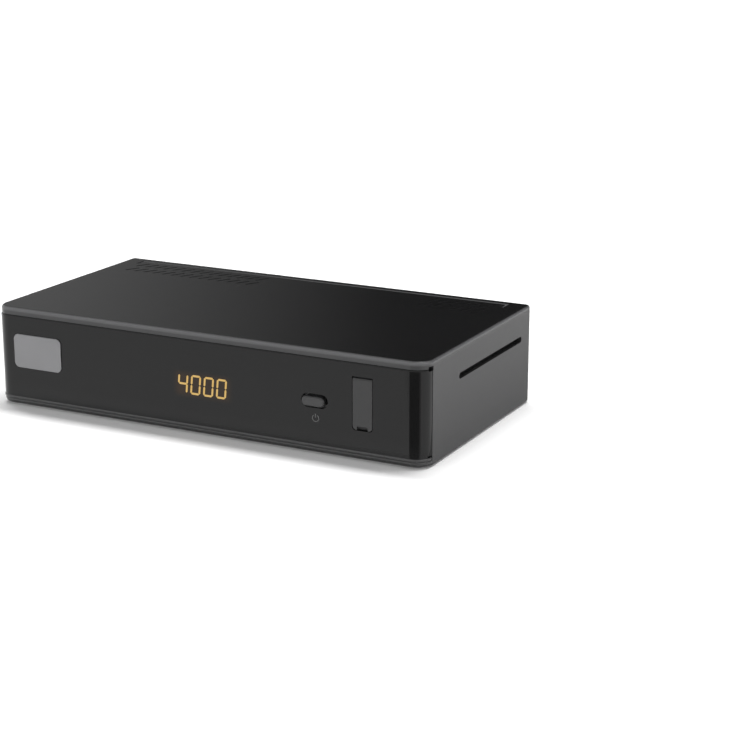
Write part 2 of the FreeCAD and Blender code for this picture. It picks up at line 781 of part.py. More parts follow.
def add_tray_rim(body):
    """The floor's full thickness and the rim that locates the cover."""
    reach = "(%s - fit_gap)" % INNER_SIDE
    inner = "(%s - rim_thickness)" % reach
    ahead = "(%s + fit_gap)" % SEAM
    panel_room = "(%s - wall - 2 * fit_gap)" % PANEL_FRONT
    floor_back = "(%s - fit_gap)" % REAR
    floor = sketch_on(body, "XY_Plane", LIP_TOP, "tray_floor")
    draw_rectangle(floor, "-1 * " + reach, reach, ahead, floor_back)
    pad(body, floor, "floor_thickness - lip_height")
    for name, left, right in (("left", "-1 * " + reach, "-1 * " + inner), ("right", inner, reach)):
        wall_sketch = sketch_on(body, "XY_Plane", FLOOR_TOP, "tray_%s_rim" % name)
        draw_rectangle(wall_sketch, left, right, ahead, panel_room)
        pad(body, wall_sketch, "rim_height - floor_thickness + lip_height")
    front = sketch_on(body, "XY_Plane", FLOOR_TOP, "tray_front_rim")
    draw_rectangle(front, "-1 * " + inner, inner, ahead, "%s + rim_thickness" % ahead)
    pad(body, front, "rim_height - floor_thickness + lip_height")
    relief = sketch_on(body, "XY_Plane", SEAT_TOP, "tray_lug_relief")
    room = "(lug_radius + 2 * fit_gap)"
    for side, along in ((-1, FRONT_LUG_Y), (1, FRONT_LUG_Y), (-1, REAR_LUG_Y), (1, REAR_LUG_Y)):
        left = "-1 * " + SIDE if side < 0 else "%s - %s" % (LUG_X, room)
        right = "%s - %s" % (room, LUG_X) if side < 0 else SIDE
        draw_rectangle(relief, left, right, "%s - %s" % (along, room), "%s + %s" % (along, room))
    pocket(body, relief, "rim_height", True)


def add_tray_posts(body):
    """Four posts for the main board and four seats for the case screws."""
    posts = sketch_on(body, "XY_Plane", FLOOR_TOP, "tray_posts")
    for across, along in board_corners():
        draw_octagon(posts, across, along, "board_post_radius")
    pad(body, posts, "board_post_height")
    pilots = sketch_on(body, "XY_Plane", BOARD_BOTTOM, "tray_post_pilots")
    for across, along in board_corners():
        draw_octagon(pilots, across, along, "screw_pilot_radius")
    pocket(body, pilots, "board_post_height")
    seats = sketch_on(body, "XY_Plane", FLOOR_TOP, "tray_screw_seats")
    for across, along in case_corners():
        draw_rectangle(seats, "%s - screw_seat_radius" % across, "%s + screw_seat_radius" % across,
                       "%s - screw_seat_radius" % along, "%s + screw_seat_radius" % along)
    pad(body, seats, "screw_seat_height")


def cut_tray_floor(body):
    """Screw holes, foot recesses and floor vents, all cut from below."""
    holes = sketch_on(body, "XY_Plane", BASE, "tray_screw_holes")
    heads = sketch_on(body, "XY_Plane", BASE, "tray_screw_heads")
    for across, along in case_corners():
        draw_octagon(holes, across, along, "screw_shank_radius + screw_hole_gap")
        draw_circle(heads, across, along, "screw_head_radius + screw_head_gap")
    pocket(body, holes, "%s - %s" % (SEAT_TOP, BASE), True)
    pocket(body, heads, "screw_head_height", True)
    recesses = sketch_on(body, "XY_Plane", BASE, "tray_foot_recesses")
    for across, along in foot_corners():
        draw_circle(recesses, across, along, "foot_radius + fit_gap")
    pocket(body, recesses, "foot_recess", True)
    vents = sketch_on(body, "XY_Plane", BASE, "tray_vents")
    half_run = "(floor_vent_pitch * (floor_vent_count - 1) / 2)"
    middle = "((%s + %s) / 2)" % (FRONT, REAR)
    draw_rectangle(vents, "-1 * %s - floor_vent_width / 2" % half_run,
                   "floor_vent_width / 2 - %s" % half_run,
                   "%s - floor_vent_length / 2" % middle, "%s + floor_vent_length / 2" % middle)
    opening = pocket(body, vents, "2 * floor_thickness", True)
    repeat(body, opening, vents, "H_Axis", "2 * %s" % half_run, "floor_vent_count")


def make_front_fascia():
    """The dark gloss plate that wraps round both front corners."""
    body = new_body("front_fascia_body")
    low = "(%s + fit_gap / 2)" % FASCIA_BOTTOM
    high = "(%s - fit_gap)" % BAND_BOTTOM
    back = "(%s - seam_gap)" % SEAM
    outline = sketch_on(body, "XY_Plane", low, "fascia_outline")
    beyond = "(%s + 2 * front_corner_radius)" % FRONT
    draw_rectangle(outline, "-1 * " + SIDE, SIDE, FRONT, beyond)
    pad(body, outline, "%s - %s" % (high, low))
    front_y = value(FRONT)
    fillet(body, "front_corner_radius",
           lambda edge: is_upright(edge) and close(edge.BoundBox.YMin, front_y), "fascia_corners")
    hollow = sketch_on(body, "XY_Plane", "%s - wall" % low, "fascia_hollow")
    inner = "(%s - fascia_thickness)" % SIDE
    draw_rectangle(hollow, "-1 * " + inner, inner, FRAME_FRONT, "%s + wall" % beyond)
    pocket(body, hollow, "%s - %s + 2 * wall" % (high, low), True)
    inner_y = value(FRAME_FRONT)
    fillet(body, "front_corner_radius - fascia_thickness",
           lambda edge: (is_upright(edge) and close(edge.BoundBox.YMin, inner_y)),
           "fascia_inner_corners")
    trim = sketch_on(body, "XY_Plane", "%s - wall" % low, "fascia_trim")
    draw_rectangle(trim, "-1 * case_width", "case_width", back, "%s + wall" % beyond)
    pocket(body, trim, "%s - %s + 2 * wall" % (high, low), True)
    side_x = value(SIDE)
    radius = value("front_corner_radius")
    ends = (value(low), value(high))
    chamfer(body, "fascia_bevel",
            lambda edge: (any(is_level_at(edge, height) for height in ends)
                          and (close(edge.BoundBox.YMax, front_y) or close(edge.BoundBox.XMax, -side_x)
                               or close(edge.BoundBox.XMin, side_x)
                               or (edge.Curve.TypeId == "Part::GeomCircle" and close(edge.Curve.Radius,
                                                                                     radius)))),
            "fascia_edge_bevel")
    cut_fascia_openings(body)
    finish(body, "front_fascia")


def cut_fascia_openings(body):
    """The button's and the flap's openings, the pin seats and the lower seam notches."""
    button = sketch_on(body, "XZ_Plane", "-1 * %s + wall" % FRONT, "fascia_button_hole")
    draw_pill(button, BUTTON_X, BUTTON_LEVEL, "button_width + 2 * button_gap",
              "button_height + 2 * button_gap")
    pocket(body, button, "3 * wall")
    flap = sketch_on(body, "XZ_Plane", "-1 * %s + wall" % FRONT, "fascia_flap_hole")
    half = "(door_width / 2 + door_gap)"
    draw_rectangle(flap, "%s - %s" % (DOOR_X, half), "%s + %s" % (DOOR_X, half),
                   "%s - door_gap" % DOOR_BOTTOM, "%s + door_gap" % DOOR_TOP)
    pocket(body, flap, "3 * wall")
    low_z = value("%s - door_gap" % DOOR_BOTTOM)
    reach_x = value(half)
    middle_x = value(DOOR_X)
    fillet(body, "door_corner_radius",
           lambda edge: (edge.BoundBox.YLength > 1 and edge.BoundBox.XLength < 0.001
                         and edge.BoundBox.ZLength < 0.001 and close(edge.BoundBox.ZMin, low_z)
                         and close(abs(edge.BoundBox.XMin - middle_x), reach_x)), "fascia_flap_corners")
    seats = sketch_on(body, "XZ_Plane", "-1 * " + FRAME_FRONT, "fascia_pin_seats")
    run = "(door_width / 2 + door_pin_length + door_gap)"
    rise = "(door_pin_radius + door_pin_gap)"
    draw_rectangle(seats, "%s - %s" % (DOOR_X, run), "%s + %s" % (DOOR_X, run),
                   "%s - %s" % (HINGE_Z, rise), "%s + %s" % (HINGE_Z, rise))
    pocket(body, seats, "%s - %s + %s" % (FRAME_FRONT, HINGE_Y, rise), True)
    notch = sketch_on(body, "YZ_Plane", "%s + wall" % SIDE, "fascia_seam_notch")
    bottom = "(%s - wall)" % FASCIA_BOTTOM
    draw_rectangle(notch, "%s - notch_width" % SEAM, "%s + wall" % SEAM,
                   bottom, "%s + wall + notch_height" % bottom)
    pocket(body, notch, "case_width + 2 * wall")
    upper = sketch_on(body, "YZ_Plane", "%s + wall" % SIDE, "fascia_upper_notch")
    draw_rectangle(upper, "%s - notch_width + 2 * fit_gap" % SEAM, "%s + wall" % SEAM,
                   "%s - notch_height / 2" % BAND_BOTTOM, "%s + wall" % BAND_BOTTOM)
    pocket(body, upper, "case_width + 2 * wall")


def make_front_frame():
    """The carrier behind the fascia that holds the display board and traps the flap."""
    body = new_body("front_frame_body")
    reach = "(%s - front_corner_radius)" % SIDE
    high = "(%s - fit_gap)" % BAND_BOTTOM
    plate = sketch_on(body, "XZ_Plane", "-1 * " + FRAME_BACK, "frame_plate")
    draw_rectangle(plate, "-1 * " + reach, reach, LIP_TOP, high)
    pad(body, plate, "frame_thickness")
    flange = sketch_on(body, "XZ_Plane", "-1 * (%s + frame_flange_depth)" % FRAME_BACK, "frame_flange")
    draw_rectangle(flange, "-1 * " + reach, reach, "%s - frame_flange_thickness" % high, high)
    draw_rectangle(flange, "-1 * " + reach, reach, LIP_TOP, "%s + frame_flange_thickness" % LIP_TOP)
    pad(body, flange, "frame_flange_depth")
    posts = sketch_on(body, "XZ_Plane", "-1 * " + DISPLAY_BOARD_FRONT, "frame_posts")
    pilots = sketch_on(body, "XZ_Plane", "-1 * " + DISPLAY_BOARD_FRONT, "frame_pilots")
    for across, along in display_corners():
        draw_octagon(posts, across, along, "display_post_radius")
        draw_octagon(pilots, across, along, "display_pilot_radius")
    pad(body, posts, "%s - %s" % (DISPLAY_BOARD_FRONT, FRAME_BACK))
    pocket(body, pilots, "%s - %s" % (DISPLAY_BOARD_FRONT, FRAME_BACK), True)
    openings = sketch_on(body, "XZ_Plane", "-1 * %s + wall" % FRAME_FRONT, "frame_openings")
    window = "(display_width / 2 + fit_gap)"
    rise = "(display_height / 2 + fit_gap)"
    draw_rectangle(openings, "%s - %s" % (DISPLAY_X, window), "%s + %s" % (DISPLAY_X, window),
                   "%s - %s" % (DISPLAY_LEVEL, rise), "%s + %s" % (DISPLAY_LEVEL, rise))
    draw_circle(openings, INFRARED_X, DISPLAY_LEVEL, "infrared_radius + 2 * fit_gap")
    draw_pill(openings, BUTTON_X, BUTTON_LEVEL,
              "button_width + 2 * (button_gap + button_flange + fit_gap)",
              "button_height + 2 * (button_gap + button_flange + fit_gap)")
    half = "(door_width / 2 + door_gap)"
    draw_rectangle(openings, "%s - %s" % (DOOR_X, half), "%s + %s" % (DOOR_X, half),
                   "%s - door_gap" % DOOR_BOTTOM, "%s + 2 * door_gap" % DOOR_TOP)
    pocket(body, openings, "2 * frame_thickness + wall")
    finish(body, "front_frame")


def display_corners():
    """The places of the two screws through the display board, as X and Z."""
    left = "(%s + display_screw_inset)" % DISPLAY_BOARD_LEFT
    right = "(%s - display_screw_inset)" % DISPLAY_BOARD_RIGHT
    low = "(foot_height + display_board_bottom + display_screw_inset)"
    high = "(foot_height + display_board_top - display_screw_inset)"
    return [(left, low), (right, high)]


def make_rear_panel():
    """The sheet at the back with one opening for each connector."""
    body = new_body("rear_panel_body")
    plate = sketch_on(body, "XZ_Plane", "-1 * " + PANEL_BACK, "panel_plate")
    reach = "(%s - fit_gap)" % INNER_SIDE
    draw_rectangle(plate, "-1 * " + reach, reach, FLOOR_TOP, "%s - fit_gap" % CEILING)
    pad(body, plate, "panel_thickness")
    holes = sketch_on(body, "XZ_Plane", "-1 * %s + wall" % PANEL_FRONT, "panel_openings")
    for across in lnb_places():
        draw_circle(holes, across, lnb_level(), "lnb_flange_radius + panel_hole_gap")
    mouths = [(name, socket_x(name)) for name in ("scart", "ethernet", "hdmi")] + [("inlet", INLET_X)]
    for name, across in mouths:
        half = "(%s_width / 2 + panel_hole_gap)" % name
        draw_rectangle(holes, "%s - %s" % (across, half), "%s + %s" % (across, half),
                       "%s - panel_hole_gap" % BOARD_TOP,
                       "%s + %s_height + panel_hole_gap" % (BOARD_TOP, name))
    draw_circle(holes, socket_x("spdif"), "%s + spdif_height / 2" % BOARD_TOP,
                "spdif_collar_radius + panel_hole_gap")
    pocket(body, holes, "2 * wall + panel_thickness")
    finish(body, "rear_panel")


def lnb_places():
    """The X of the two satellite connectors."""
    return ["(%s - lnb_spacing / 2)" % TUNER_X, "(%s + lnb_spacing / 2)" % TUNER_X]


def lnb_level():
    """The height of the satellite connectors' axes."""
    return "(%s + tuner_height / 2)" % BOARD_TOP


def make_feet():
    """Four tapered rubber feet glued into recesses."""
    feet = []
    for index, (across, along) in enumerate(foot_corners()):
        foot = doc.addObject("Part::Cone", "foot_%d" % index)
        bind(foot, "Radius1", "foot_radius - foot_taper")
        bind(foot, "Radius2", "foot_radius")
        bind(foot, "Height", "foot_height + foot_recess")
        place(foot, across, along, "0 * foot_height")
        feet.append(foot)
    finish(grouped("foot_group", feet), "rubber_feet")


def make_case_screws():
    """Four pan-head screws that run up from the tray's seats into the cover's lugs."""
    screws = []
    for index, (across, along) in enumerate(case_corners()):
        head = prism("case_head_%d" % index, (across, along, BASE), ROUND_SIDES,
                     "screw_head_radius", "screw_head_height")
        shank = prism("case_shank_%d" % index, (across, along, "%s + screw_head_height" % BASE),
                      SHANK_SIDES, "screw_shank_radius", "case_screw_length")
        screws.append(joined("case_screw_%d" % index, [head, shank]))
    finish(grouped("case_screw_group", screws), "case_screws")


def make_board_screws():
    """Four hexagon-head screws that hold the main board down on its posts."""
    screws = []
    for index, (across, along) in enumerate(board_corners()):
        head = prism("board_head_%d" % index, (across, along, BOARD_TOP),
                     HEAD_SIDES, "screw_head_radius", "screw_head_height")
        shank = prism("board_shank_%d" % index, (across, along, "%s - board_screw_length" % BOARD_TOP),
                      SHANK_SIDES, "screw_shank_radius", "board_screw_length")
        screws.append(joined("board_screw_%d" % index, [head, shank]))
    finish(grouped("board_screw_group", screws), "board_screws")


def make_display_screws():
    """The small screws through the display board into the frame's posts."""
    screws = []
    for index, (across, up) in enumerate(display_corners()):
        head = prism("display_head_%d" % index, (across, DISPLAY_BOARD_BACK, up),
                     HEAD_SIDES, "2 * display_pilot_radius", "display_pilot_radius", "Y")
        shank = prism("display_shank_%d" % index,
                      (across, "%s - 2 * board_thickness" % DISPLAY_BOARD_FRONT, up),
                      SHANK_SIDES, "display_pilot_radius", "3 * board_thickness", "Y")
        screws.append(joined("display_screw_%d" % index, [head, shank]))
    finish(grouped("display_screw_group", screws), "display_board_screws")


def make_display_board():
    """The upright board with its display module and infrared receiver."""
    low = "(foot_height + display_board_bottom)"
    plate = block("display_plate", (DISPLAY_BOARD_LEFT, DISPLAY_BOARD_FRONT, low),
                  ("%s - %s" % (DISPLAY_BOARD_RIGHT, DISPLAY_BOARD_LEFT), "board_thickness",
                   "display_board_top - display_board_bottom"))
    holes = [
        prism("display_hole_%d" % index, (across, "%s - wall" % DISPLAY_BOARD_FRONT, up), SHANK_SIDES,
              "display_pilot_radius + fit_gap", "board_thickness + 2 * wall", "Y")
        for index, (across, up) in enumerate(display_corners())
    ]
    finish(carved("display_board_cut", plate, holes), "display_board")
    module = block("display_module",
                   ("%s - display_width / 2" % DISPLAY_X, DISPLAY_FACE,
                    "%s - display_height / 2" % DISPLAY_LEVEL),
                   ("display_width", "display_depth", "display_height"))
    finish(module, "led_display")
    dome = rod("infrared_dome", (INFRARED_X, "%s + infrared_radius / 2" % DISPLAY_FACE, DISPLAY_LEVEL),
               "infrared_radius", "display_depth - infrared_radius / 2", "Y")
    tip = doc.addObject("Part::Cone", "infrared_tip")
    tip.Placement = dome.Placement
    bind(tip, "Radius1", "infrared_radius / 2")
    bind(tip, "Radius2", "infrared_radius")
    bind(tip, "Height", "infrared_radius / 2")
    place(tip, INFRARED_X, DISPLAY_FACE, DISPLAY_LEVEL)
    finish(joined("infrared_whole", [dome, tip]), "ir_receiver")


def make_power_button():
    """The pill-shaped cap with its retaining flange and stem."""
    body = new_body("power_button_body")
    flange_front = "(%s + button_travel / 8)" % FRAME_FRONT
    flange_back = "(%s + button_flange_thickness)" % flange_front
    cap = sketch_on(body, "XZ_Plane", "-1 * " + flange_front, "button_cap")
    draw_pill(cap, BUTTON_X, BUTTON_LEVEL, "button_width", "button_height")
    pad(body, cap, "%s - %s + button_proud" % (flange_front, FRONT))
    face_y = value("%s - button_proud" % FRONT)
    chamfer(body, "button_bevel",
            lambda edge: close(edge.BoundBox.YMin, face_y) and close(edge.BoundBox.YMax, face_y),
            "button_face_edge")
    flange = sketch_on(body, "XZ_Plane", "-1 * " + flange_back, "button_flange_outline")
    draw_pill(flange, BUTTON_X, BUTTON_LEVEL, "button_width + 2 * (button_gap + button_flange)",
              "button_height + 2 * (button_gap + button_flange)")
    pad(body, flange, "button_flange_thickness")
    stem = sketch_on(body, "XZ_Plane", "-1 * " + plunger_front(), "button_stem")
    draw_circle(stem, BUTTON_X, BUTTON_LEVEL, "button_stem_radius")
    pad(body, stem, "%s - %s" % (plunger_front(), flange_back))
    finish(body, "power_button")


def plunger_front():
    """Where the button's stem meets the switch's plunger."""
    return "(%s - switch_depth - plunger_reach)" % DISPLAY_BOARD_FRONT


def make_tact_switch():
    """The push switch on the display board: a square body and a round plunger."""
    front = "(%s - switch_depth)" % DISPLAY_BOARD_FRONT
    housing = block("switch_housing",
                    ("%s - switch_size / 2" % BUTTON_X, front, "%s - switch_size / 2" % BUTTON_LEVEL),
                    ("switch_size", "switch_depth", "switch_size"))
    bore = rod("switch_bore", (BUTTON_X, "%s - wall" % front, BUTTON_LEVEL),
               "plunger_radius + plunger_gap", "wall + plunger_sink + 2 * button_travel", "Y")
    finish(carved("switch_cut", housing, [bore]), "tact_switch_body")
    plunger = rod("switch_plunger", (BUTTON_X, plunger_front(), BUTTON_LEVEL),
                  "plunger_radius", "plunger_reach + plunger_sink", "Y")
    finish(plunger, "tact_switch_plunger")


def make_usb_door():
    """The upright flap: a knuckle along its top, two moulded pins, a scooped lower edge."""
    body = new_body("usb_door_body")
    plate = sketch_on(body, "XZ_Plane", "-1 * (%s + door_thickness)" % FRONT, "door_plate")
    draw_rectangle(plate, "%s - door_width / 2" % DOOR_X, "%s + door_width / 2" % DOOR_X, DOOR_BOTTOM,
                   HINGE_Z)
    pad(body, plate, "door_thickness")
    low_z = value(DOOR_BOTTOM)
    fillet(body, "door_corner_radius",
           lambda edge: (edge.BoundBox.YLength > 1 and edge.BoundBox.XLength < 0.001
                         and close(edge.BoundBox.ZMin, low_z)), "door_corners")
    knuckle = sketch_on(body, "YZ_Plane", "%s - door_width / 2" % DOOR_X, "door_knuckle")
    draw_circle(knuckle, HINGE_Y, HINGE_Z, "door_knuckle_radius")
    pad(body, knuckle, "door_width")
    pins = sketch_on(body, "YZ_Plane", "%s - door_width / 2 - door_pin_length" % DOOR_X, "door_pins")
    draw_circle(pins, HINGE_Y, HINGE_Z, "door_pin_radius")
    pad(body, pins, "door_width + 2 * door_pin_length")
    scoop = sketch_on(body, "YZ_Plane", "%s + door_notch_width / 2" % DOOR_X, "door_scoop")
    draw_polygon(scoop, [
        ("%s - wall" % FRONT, "%s - wall" % DOOR_BOTTOM),
        ("%s + door_thickness / 2" % FRONT, "%s - wall" % DOOR_BOTTOM),
        ("%s + door_thickness / 2" % FRONT, DOOR_BOTTOM),
        (FRONT, "%s + door_notch_height" % DOOR_BOTTOM),
        ("%s - wall" % FRONT, "%s + door_notch_height" % DOOR_BOTTOM),
    ])
    pocket(body, scoop, "door_notch_width")
    finish(body, "usb_door")


def make_usb_socket():
    """The socket behind the flap, standing on edge: a metal shell and its tongue."""
    face = "(%s + usb_face)" % FRONT
    low = "(foot_height + usb_level)"
    shell = block("usb_shell", ("%s - usb_width / 2" % DOOR_X, face, low),
                  ("usb_width", "usb_length", "usb_height"))
    mouth = block("usb_mouth",
                  ("%s - usb_width / 2 + usb_skin" % DOOR_X, "%s - wall" % face, "%s + usb_skin" % low),
                  ("usb_width - 2 * usb_skin", "wall + usb_length - usb_skin",
                   "usb_height - 2 * usb_skin"))
    foot_top = "(%s - %s)" % (low, BOARD_TOP)
    board_edge = "(%s + board_front)" % FRONT
    foot = block("usb_foot", ("%s - usb_width / 2" % DOOR_X, board_edge, BOARD_TOP),
                 ("usb_width", "%s + usb_length - %s" % (face, board_edge), foot_top))
    finish(joined("usb_whole", [carved("usb_shell_cut", shell, [mouth]), foot]), "usb_socket")
    tongue = block("usb_tongue_block",
                   ("%s + usb_tongue_shift - usb_tongue_thickness / 2" % DOOR_X,
                    "%s + usb_tongue_setback" % face,
                    "%s + (usb_height - usb_tongue_height) / 2" % low),
                   ("usb_tongue_thickness", "usb_length - usb_tongue_setback - usb_skin",
                    "usb_tongue_height"))
    finish(tongue, "usb_tongue")


def make_main_board():
    """The main circuit board on its four posts."""
    plate = block("main_plate", ("-1 * " + BOARD_REACH, "%s + board_front" % FRONT, BOARD_BOTTOM),
                  ("2 * " + BOARD_REACH, "%s - board_rear_gap - %s - board_front" % (PANEL_FRONT, FRONT),
                   "board_thickness"))
    holes = [
        prism("main_hole_%d" % index, (across, along, "%s - wall" % BOARD_BOTTOM), SHANK_SIDES,
              "screw_shank_radius + screw_hole_gap", "board_thickness + 2 * wall")
        for index, (across, along) in enumerate(board_corners())
    ]
    finish(carved("main_board_cut", plate, holes), "main_board")


def make_tuner():
    """The screened tuner and its two threaded satellite connectors."""
    face = "(%s - fit_gap)" % PANEL_FRONT
    can = block("tuner_box", ("%s - tuner_width / 2" % TUNER_X, "%s - tuner_length" % face, BOARD_TOP),
                ("tuner_width", "tuner_length", "tuner_height"))
    finish(can, "tuner_can")
    insulators = []
    tip = "(%s + connector_reach)" % REAR
    reach = "(%s - %s)" % (tip, face)
    for name, across in zip(("lnb_in", "lnb_out"), lnb_places()):
        barrel = rod(name + "_barrel", (across, face, lnb_level()), "lnb_radius", reach, "Y")
        flange = prism(name + "_flange", (across, face, lnb_level()), HEAD_SIDES, "lnb_flange_radius",
                       "%s + lnb_flange_proud - %s" % (PANEL_BACK, face), "Y")
        mouth = rod(name + "_mouth", (across, "%s - lnb_mouth_depth" % tip, lnb_level()),
                    "lnb_mouth_radius", "lnb_mouth_depth + wall", "Y")
        finish(carved(name + "_cut", joined(name + "_metal", [barrel, flange]), [mouth]),
               name + "_connector")
        filler = prism(name + "_filler", (across, "%s - lnb_mouth_depth" % tip, lnb_level()),
                       ROUND_SIDES,
                       "lnb_mouth_radius", "lnb_mouth_depth - lnb_wire_radius", "Y")
        wire_hole = prism(name + "_wire_hole", (across, "%s - lnb_mouth_depth / 2" % tip, lnb_level()),
                          SHANK_SIDES,
                          "lnb_wire_radius", "lnb_mouth_depth", "Y")
        insulators.append(carved(name + "_insulator", filler, [wire_hole]))
    finish(grouped("insulator_group", insulators), "lnb_insulators")


def make_scart_socket():
    """The wide audio and video socket with a slant-cornered shroud and two contact rows."""
    body = new_body("scart_socket_body")
    face = "(%s + fit_gap)" % PANEL_BACK
    middle = "(%s + scart_height / 2)" % BOARD_TOP
    housing = sketch_on(body, "XZ_Plane", "-1 * " + face, "scart_housing")
    draw_rectangle(housing, "%s - scart_width / 2" % socket_x("scart"),
                   "%s + scart_width / 2" % socket_x("scart"),
                   BOARD_TOP, "%s + scart_height" % BOARD_TOP)
    pad(body, housing, "scart_length")
    shroud = sketch_on(body, "XZ_Plane", "-1 * (%s + scart_shroud_reach)" % face, "scart_shroud")
    draw_shroud(shroud, middle, "0 * wall")
    pad(body, shroud, "scart_shroud_reach")
    mouth = sketch_on(body, "XZ_Plane", "-1 * (%s + scart_shroud_reach)" % face, "scart_mouth")
    draw_shroud(mouth, middle, "scart_shroud_wall")
    pocket(body, mouth, "scart_shroud_reach - fit_gap", True)
    half_run = "(scart_contact_pitch * (scart_contact_count - 1) / 2)"
    for index, sign in enumerate((-1, 1)):
        contacts = sketch_on(body, "XZ_Plane", "-1 * (%s + fit_gap)" % face, "scart_contacts_%d" % index)
        centre = "(%s + (%d) * scart_shroud_height / 4)" % (middle, sign)
        slot = "(scart_shroud_height / 8)"
        start = "(%s - %s)" % (socket_x("scart"), half_run)
        draw_rectangle(contacts, "%s - scart_shroud_wall / 2" % start,
                       "%s + scart_shroud_wall / 2" % start,
                       "%s - %s" % (centre, slot), "%s + %s" % (centre, slot))
        opening = pocket(body, contacts, "scart_length / 2 + fit_gap", True)
        repeat(body, opening, contacts, "H_Axis", "2 * %s" % half_run, "scart_contact_count")
    finish(body, "scart_socket")


def draw_shroud(sketch, middle, inset):
    """The socket's outline: a rectangle with one lower corner cut at a slant."""
    half = "(scart_shroud_width / 2 - %s)" % inset
    rise = "(scart_shroud_height / 2 - %s)" % inset
    draw_polygon(sketch, [
        ("%s - %s + scart_slant" % (socket_x("scart"), half), "%s - %s" % (middle, rise)),
        ("%s + %s" % (socket_x("scart"), half), "%s - %s" % (middle, rise)),
        ("%s + %s" % (socket_x("scart"), half), "%s + %s" % (middle, rise)),
        ("%s - %s" % (socket_x("scart"), half), "%s + %s" % (middle, rise)),
        ("%s - %s" % (socket_x("scart"), half), "%s - %s + scart_slant" % (middle, rise)),
    ])


def make_ethernet_socket():
    """The network socket with its stepped latch opening."""
    face = "(%s + fit_gap)" % PANEL_BACK
    shell = block("ethernet_shell",
                  ("%s - ethernet_width / 2" % socket_x("ethernet"), "%s - ethernet_length" % face,
                   BOARD_TOP),
                  ("ethernet_width", "ethernet_length", "ethernet_height"))
    low = "(%s + (ethernet_height - ethernet_mouth_height + ethernet_latch_height) / 2)" % BOARD_TOP
    mouth = block("ethernet_mouth",
                  ("%s - ethernet_mouth_width / 2" % socket_x("ethernet"),
                   "%s - ethernet_mouth_depth" % face, low),
                  ("ethernet_mouth_width", "ethernet_mouth_depth + wall", "ethernet_mouth_height"))
    latch = block("ethernet_latch",
                  ("%s - ethernet_latch_width / 2" % socket_x("ethernet"),
                   "%s - ethernet_mouth_depth" % face,
                   "%s - ethernet_latch_height" % low),
                  ("ethernet_latch_width", "ethernet_mouth_depth + wall", "2 * ethernet_latch_height"))
    finish(carved("ethernet_cut", shell, [mouth, latch]), "ethernet_socket")


def make_hdmi_socket():
    """The flat video socket: a shell with two slanted lower corners round a thin tongue."""
    body = new_body("hdmi_socket_body")
    face = "(%s + fit_gap)" % PANEL_BACK
    shell = sketch_on(body, "XZ_Plane", "-1 * " + face, "hdmi_shell")
    draw_hdmi(shell, "0 * hdmi_skin")
    pad(body, shell, "hdmi_length")
    mouth = sketch_on(body, "XZ_Plane", "-1 * " + face, "hdmi_mouth")
    draw_hdmi(mouth, "hdmi_skin")
    half = "(hdmi_tongue_width / 2)"
    middle = "(%s + hdmi_height / 2)" % BOARD_TOP
    draw_rectangle(mouth, "%s - %s" % (socket_x("hdmi"), half), "%s + %s" % (socket_x("hdmi"), half),
                   "%s - hdmi_tongue_thickness / 2" % middle, "%s + hdmi_tongue_thickness / 2" % middle)
    pocket(body, mouth, "hdmi_length - 2 * hdmi_skin", True)
    finish(body, "hdmi_socket")


def draw_hdmi(sketch, inset):
    """The flat socket's outline, drawn in by an even inset."""
    half = "(hdmi_width / 2 - %s)" % inset
    low = "(%s + %s)" % (BOARD_TOP, inset)
    high = "(%s + hdmi_height - %s)" % (BOARD_TOP, inset)
    draw_polygon(sketch, [
        ("%s - %s + hdmi_slant" % (socket_x("hdmi"), half), low),
        ("%s + %s - hdmi_slant" % (socket_x("hdmi"), half), low),
        ("%s + %s" % (socket_x("hdmi"), half), "%s + hdmi_slant" % low),
        ("%s + %s" % (socket_x("hdmi"), half), high),
        ("%s - %s" % (socket_x("hdmi"), half), high),
        ("%s - %s" % (socket_x("hdmi"), half), "%s + hdmi_slant" % low),
    ])


def make_spdif_socket():
    """The digital audio socket: a moulded block with a plain round barrel."""
    face = "(%s - fit_gap)" % PANEL_FRONT
    level = "(%s + spdif_height / 2)" % BOARD_TOP
    housing = block("spdif_housing",
                    ("%s - spdif_width / 2" % socket_x("spdif"), "%s - spdif_length" % face, BOARD_TOP),
                    ("spdif_width", "spdif_length", "spdif_height"))
    tip = "(%s + spdif_reach)" % REAR
    barrel = rod("spdif_barrel", (socket_x("spdif"), face, level), "spdif_barrel_radius",
                 "%s - %s" % (tip, face), "Y")
    collar = rod("spdif_collar", (socket_x("spdif"), face, level), "spdif_collar_radius",
                 "%s + spdif_collar_proud - %s" % (PANEL_BACK, face), "Y")
    bore = rod("spdif_bore", (socket_x("spdif"), "%s - spdif_reach" % tip, level), "spdif_bore_radius",
               "spdif_reach + wall", "Y")
    finish(carved("spdif_cut", joined("spdif_body", [housing, barrel, collar]), [bore]), "spdif_socket")


def make_inlet():
    """The low-voltage inlet: a moulded block with a round mouth and a centre pin."""
    face = "(%s + fit_gap)" % PANEL_BACK
    level = "(%s + inlet_height / 2)" % BOARD_TOP
    housing = block("inlet_housing",
                    ("%s - inlet_width / 2" % INLET_X, "%s - inlet_length" % face, BOARD_TOP),
                    ("inlet_width", "inlet_length", "inlet_height"))
    bore = rod("inlet_bore", (INLET_X, "%s - inlet_bore_depth" % face, level),
               "inlet_bore_radius", "inlet_bore_depth + wall", "Y")
    finish(carved("inlet_cut", housing, [bore]), "dc_inlet")
    pin = rod("inlet_pin", (INLET_X, "%s - inlet_bore_depth" % face, level),
              "inlet_pin_radius", "inlet_bore_depth - inlet_pin_radius", "Y")
    finish(pin, "dc_inlet_pin")


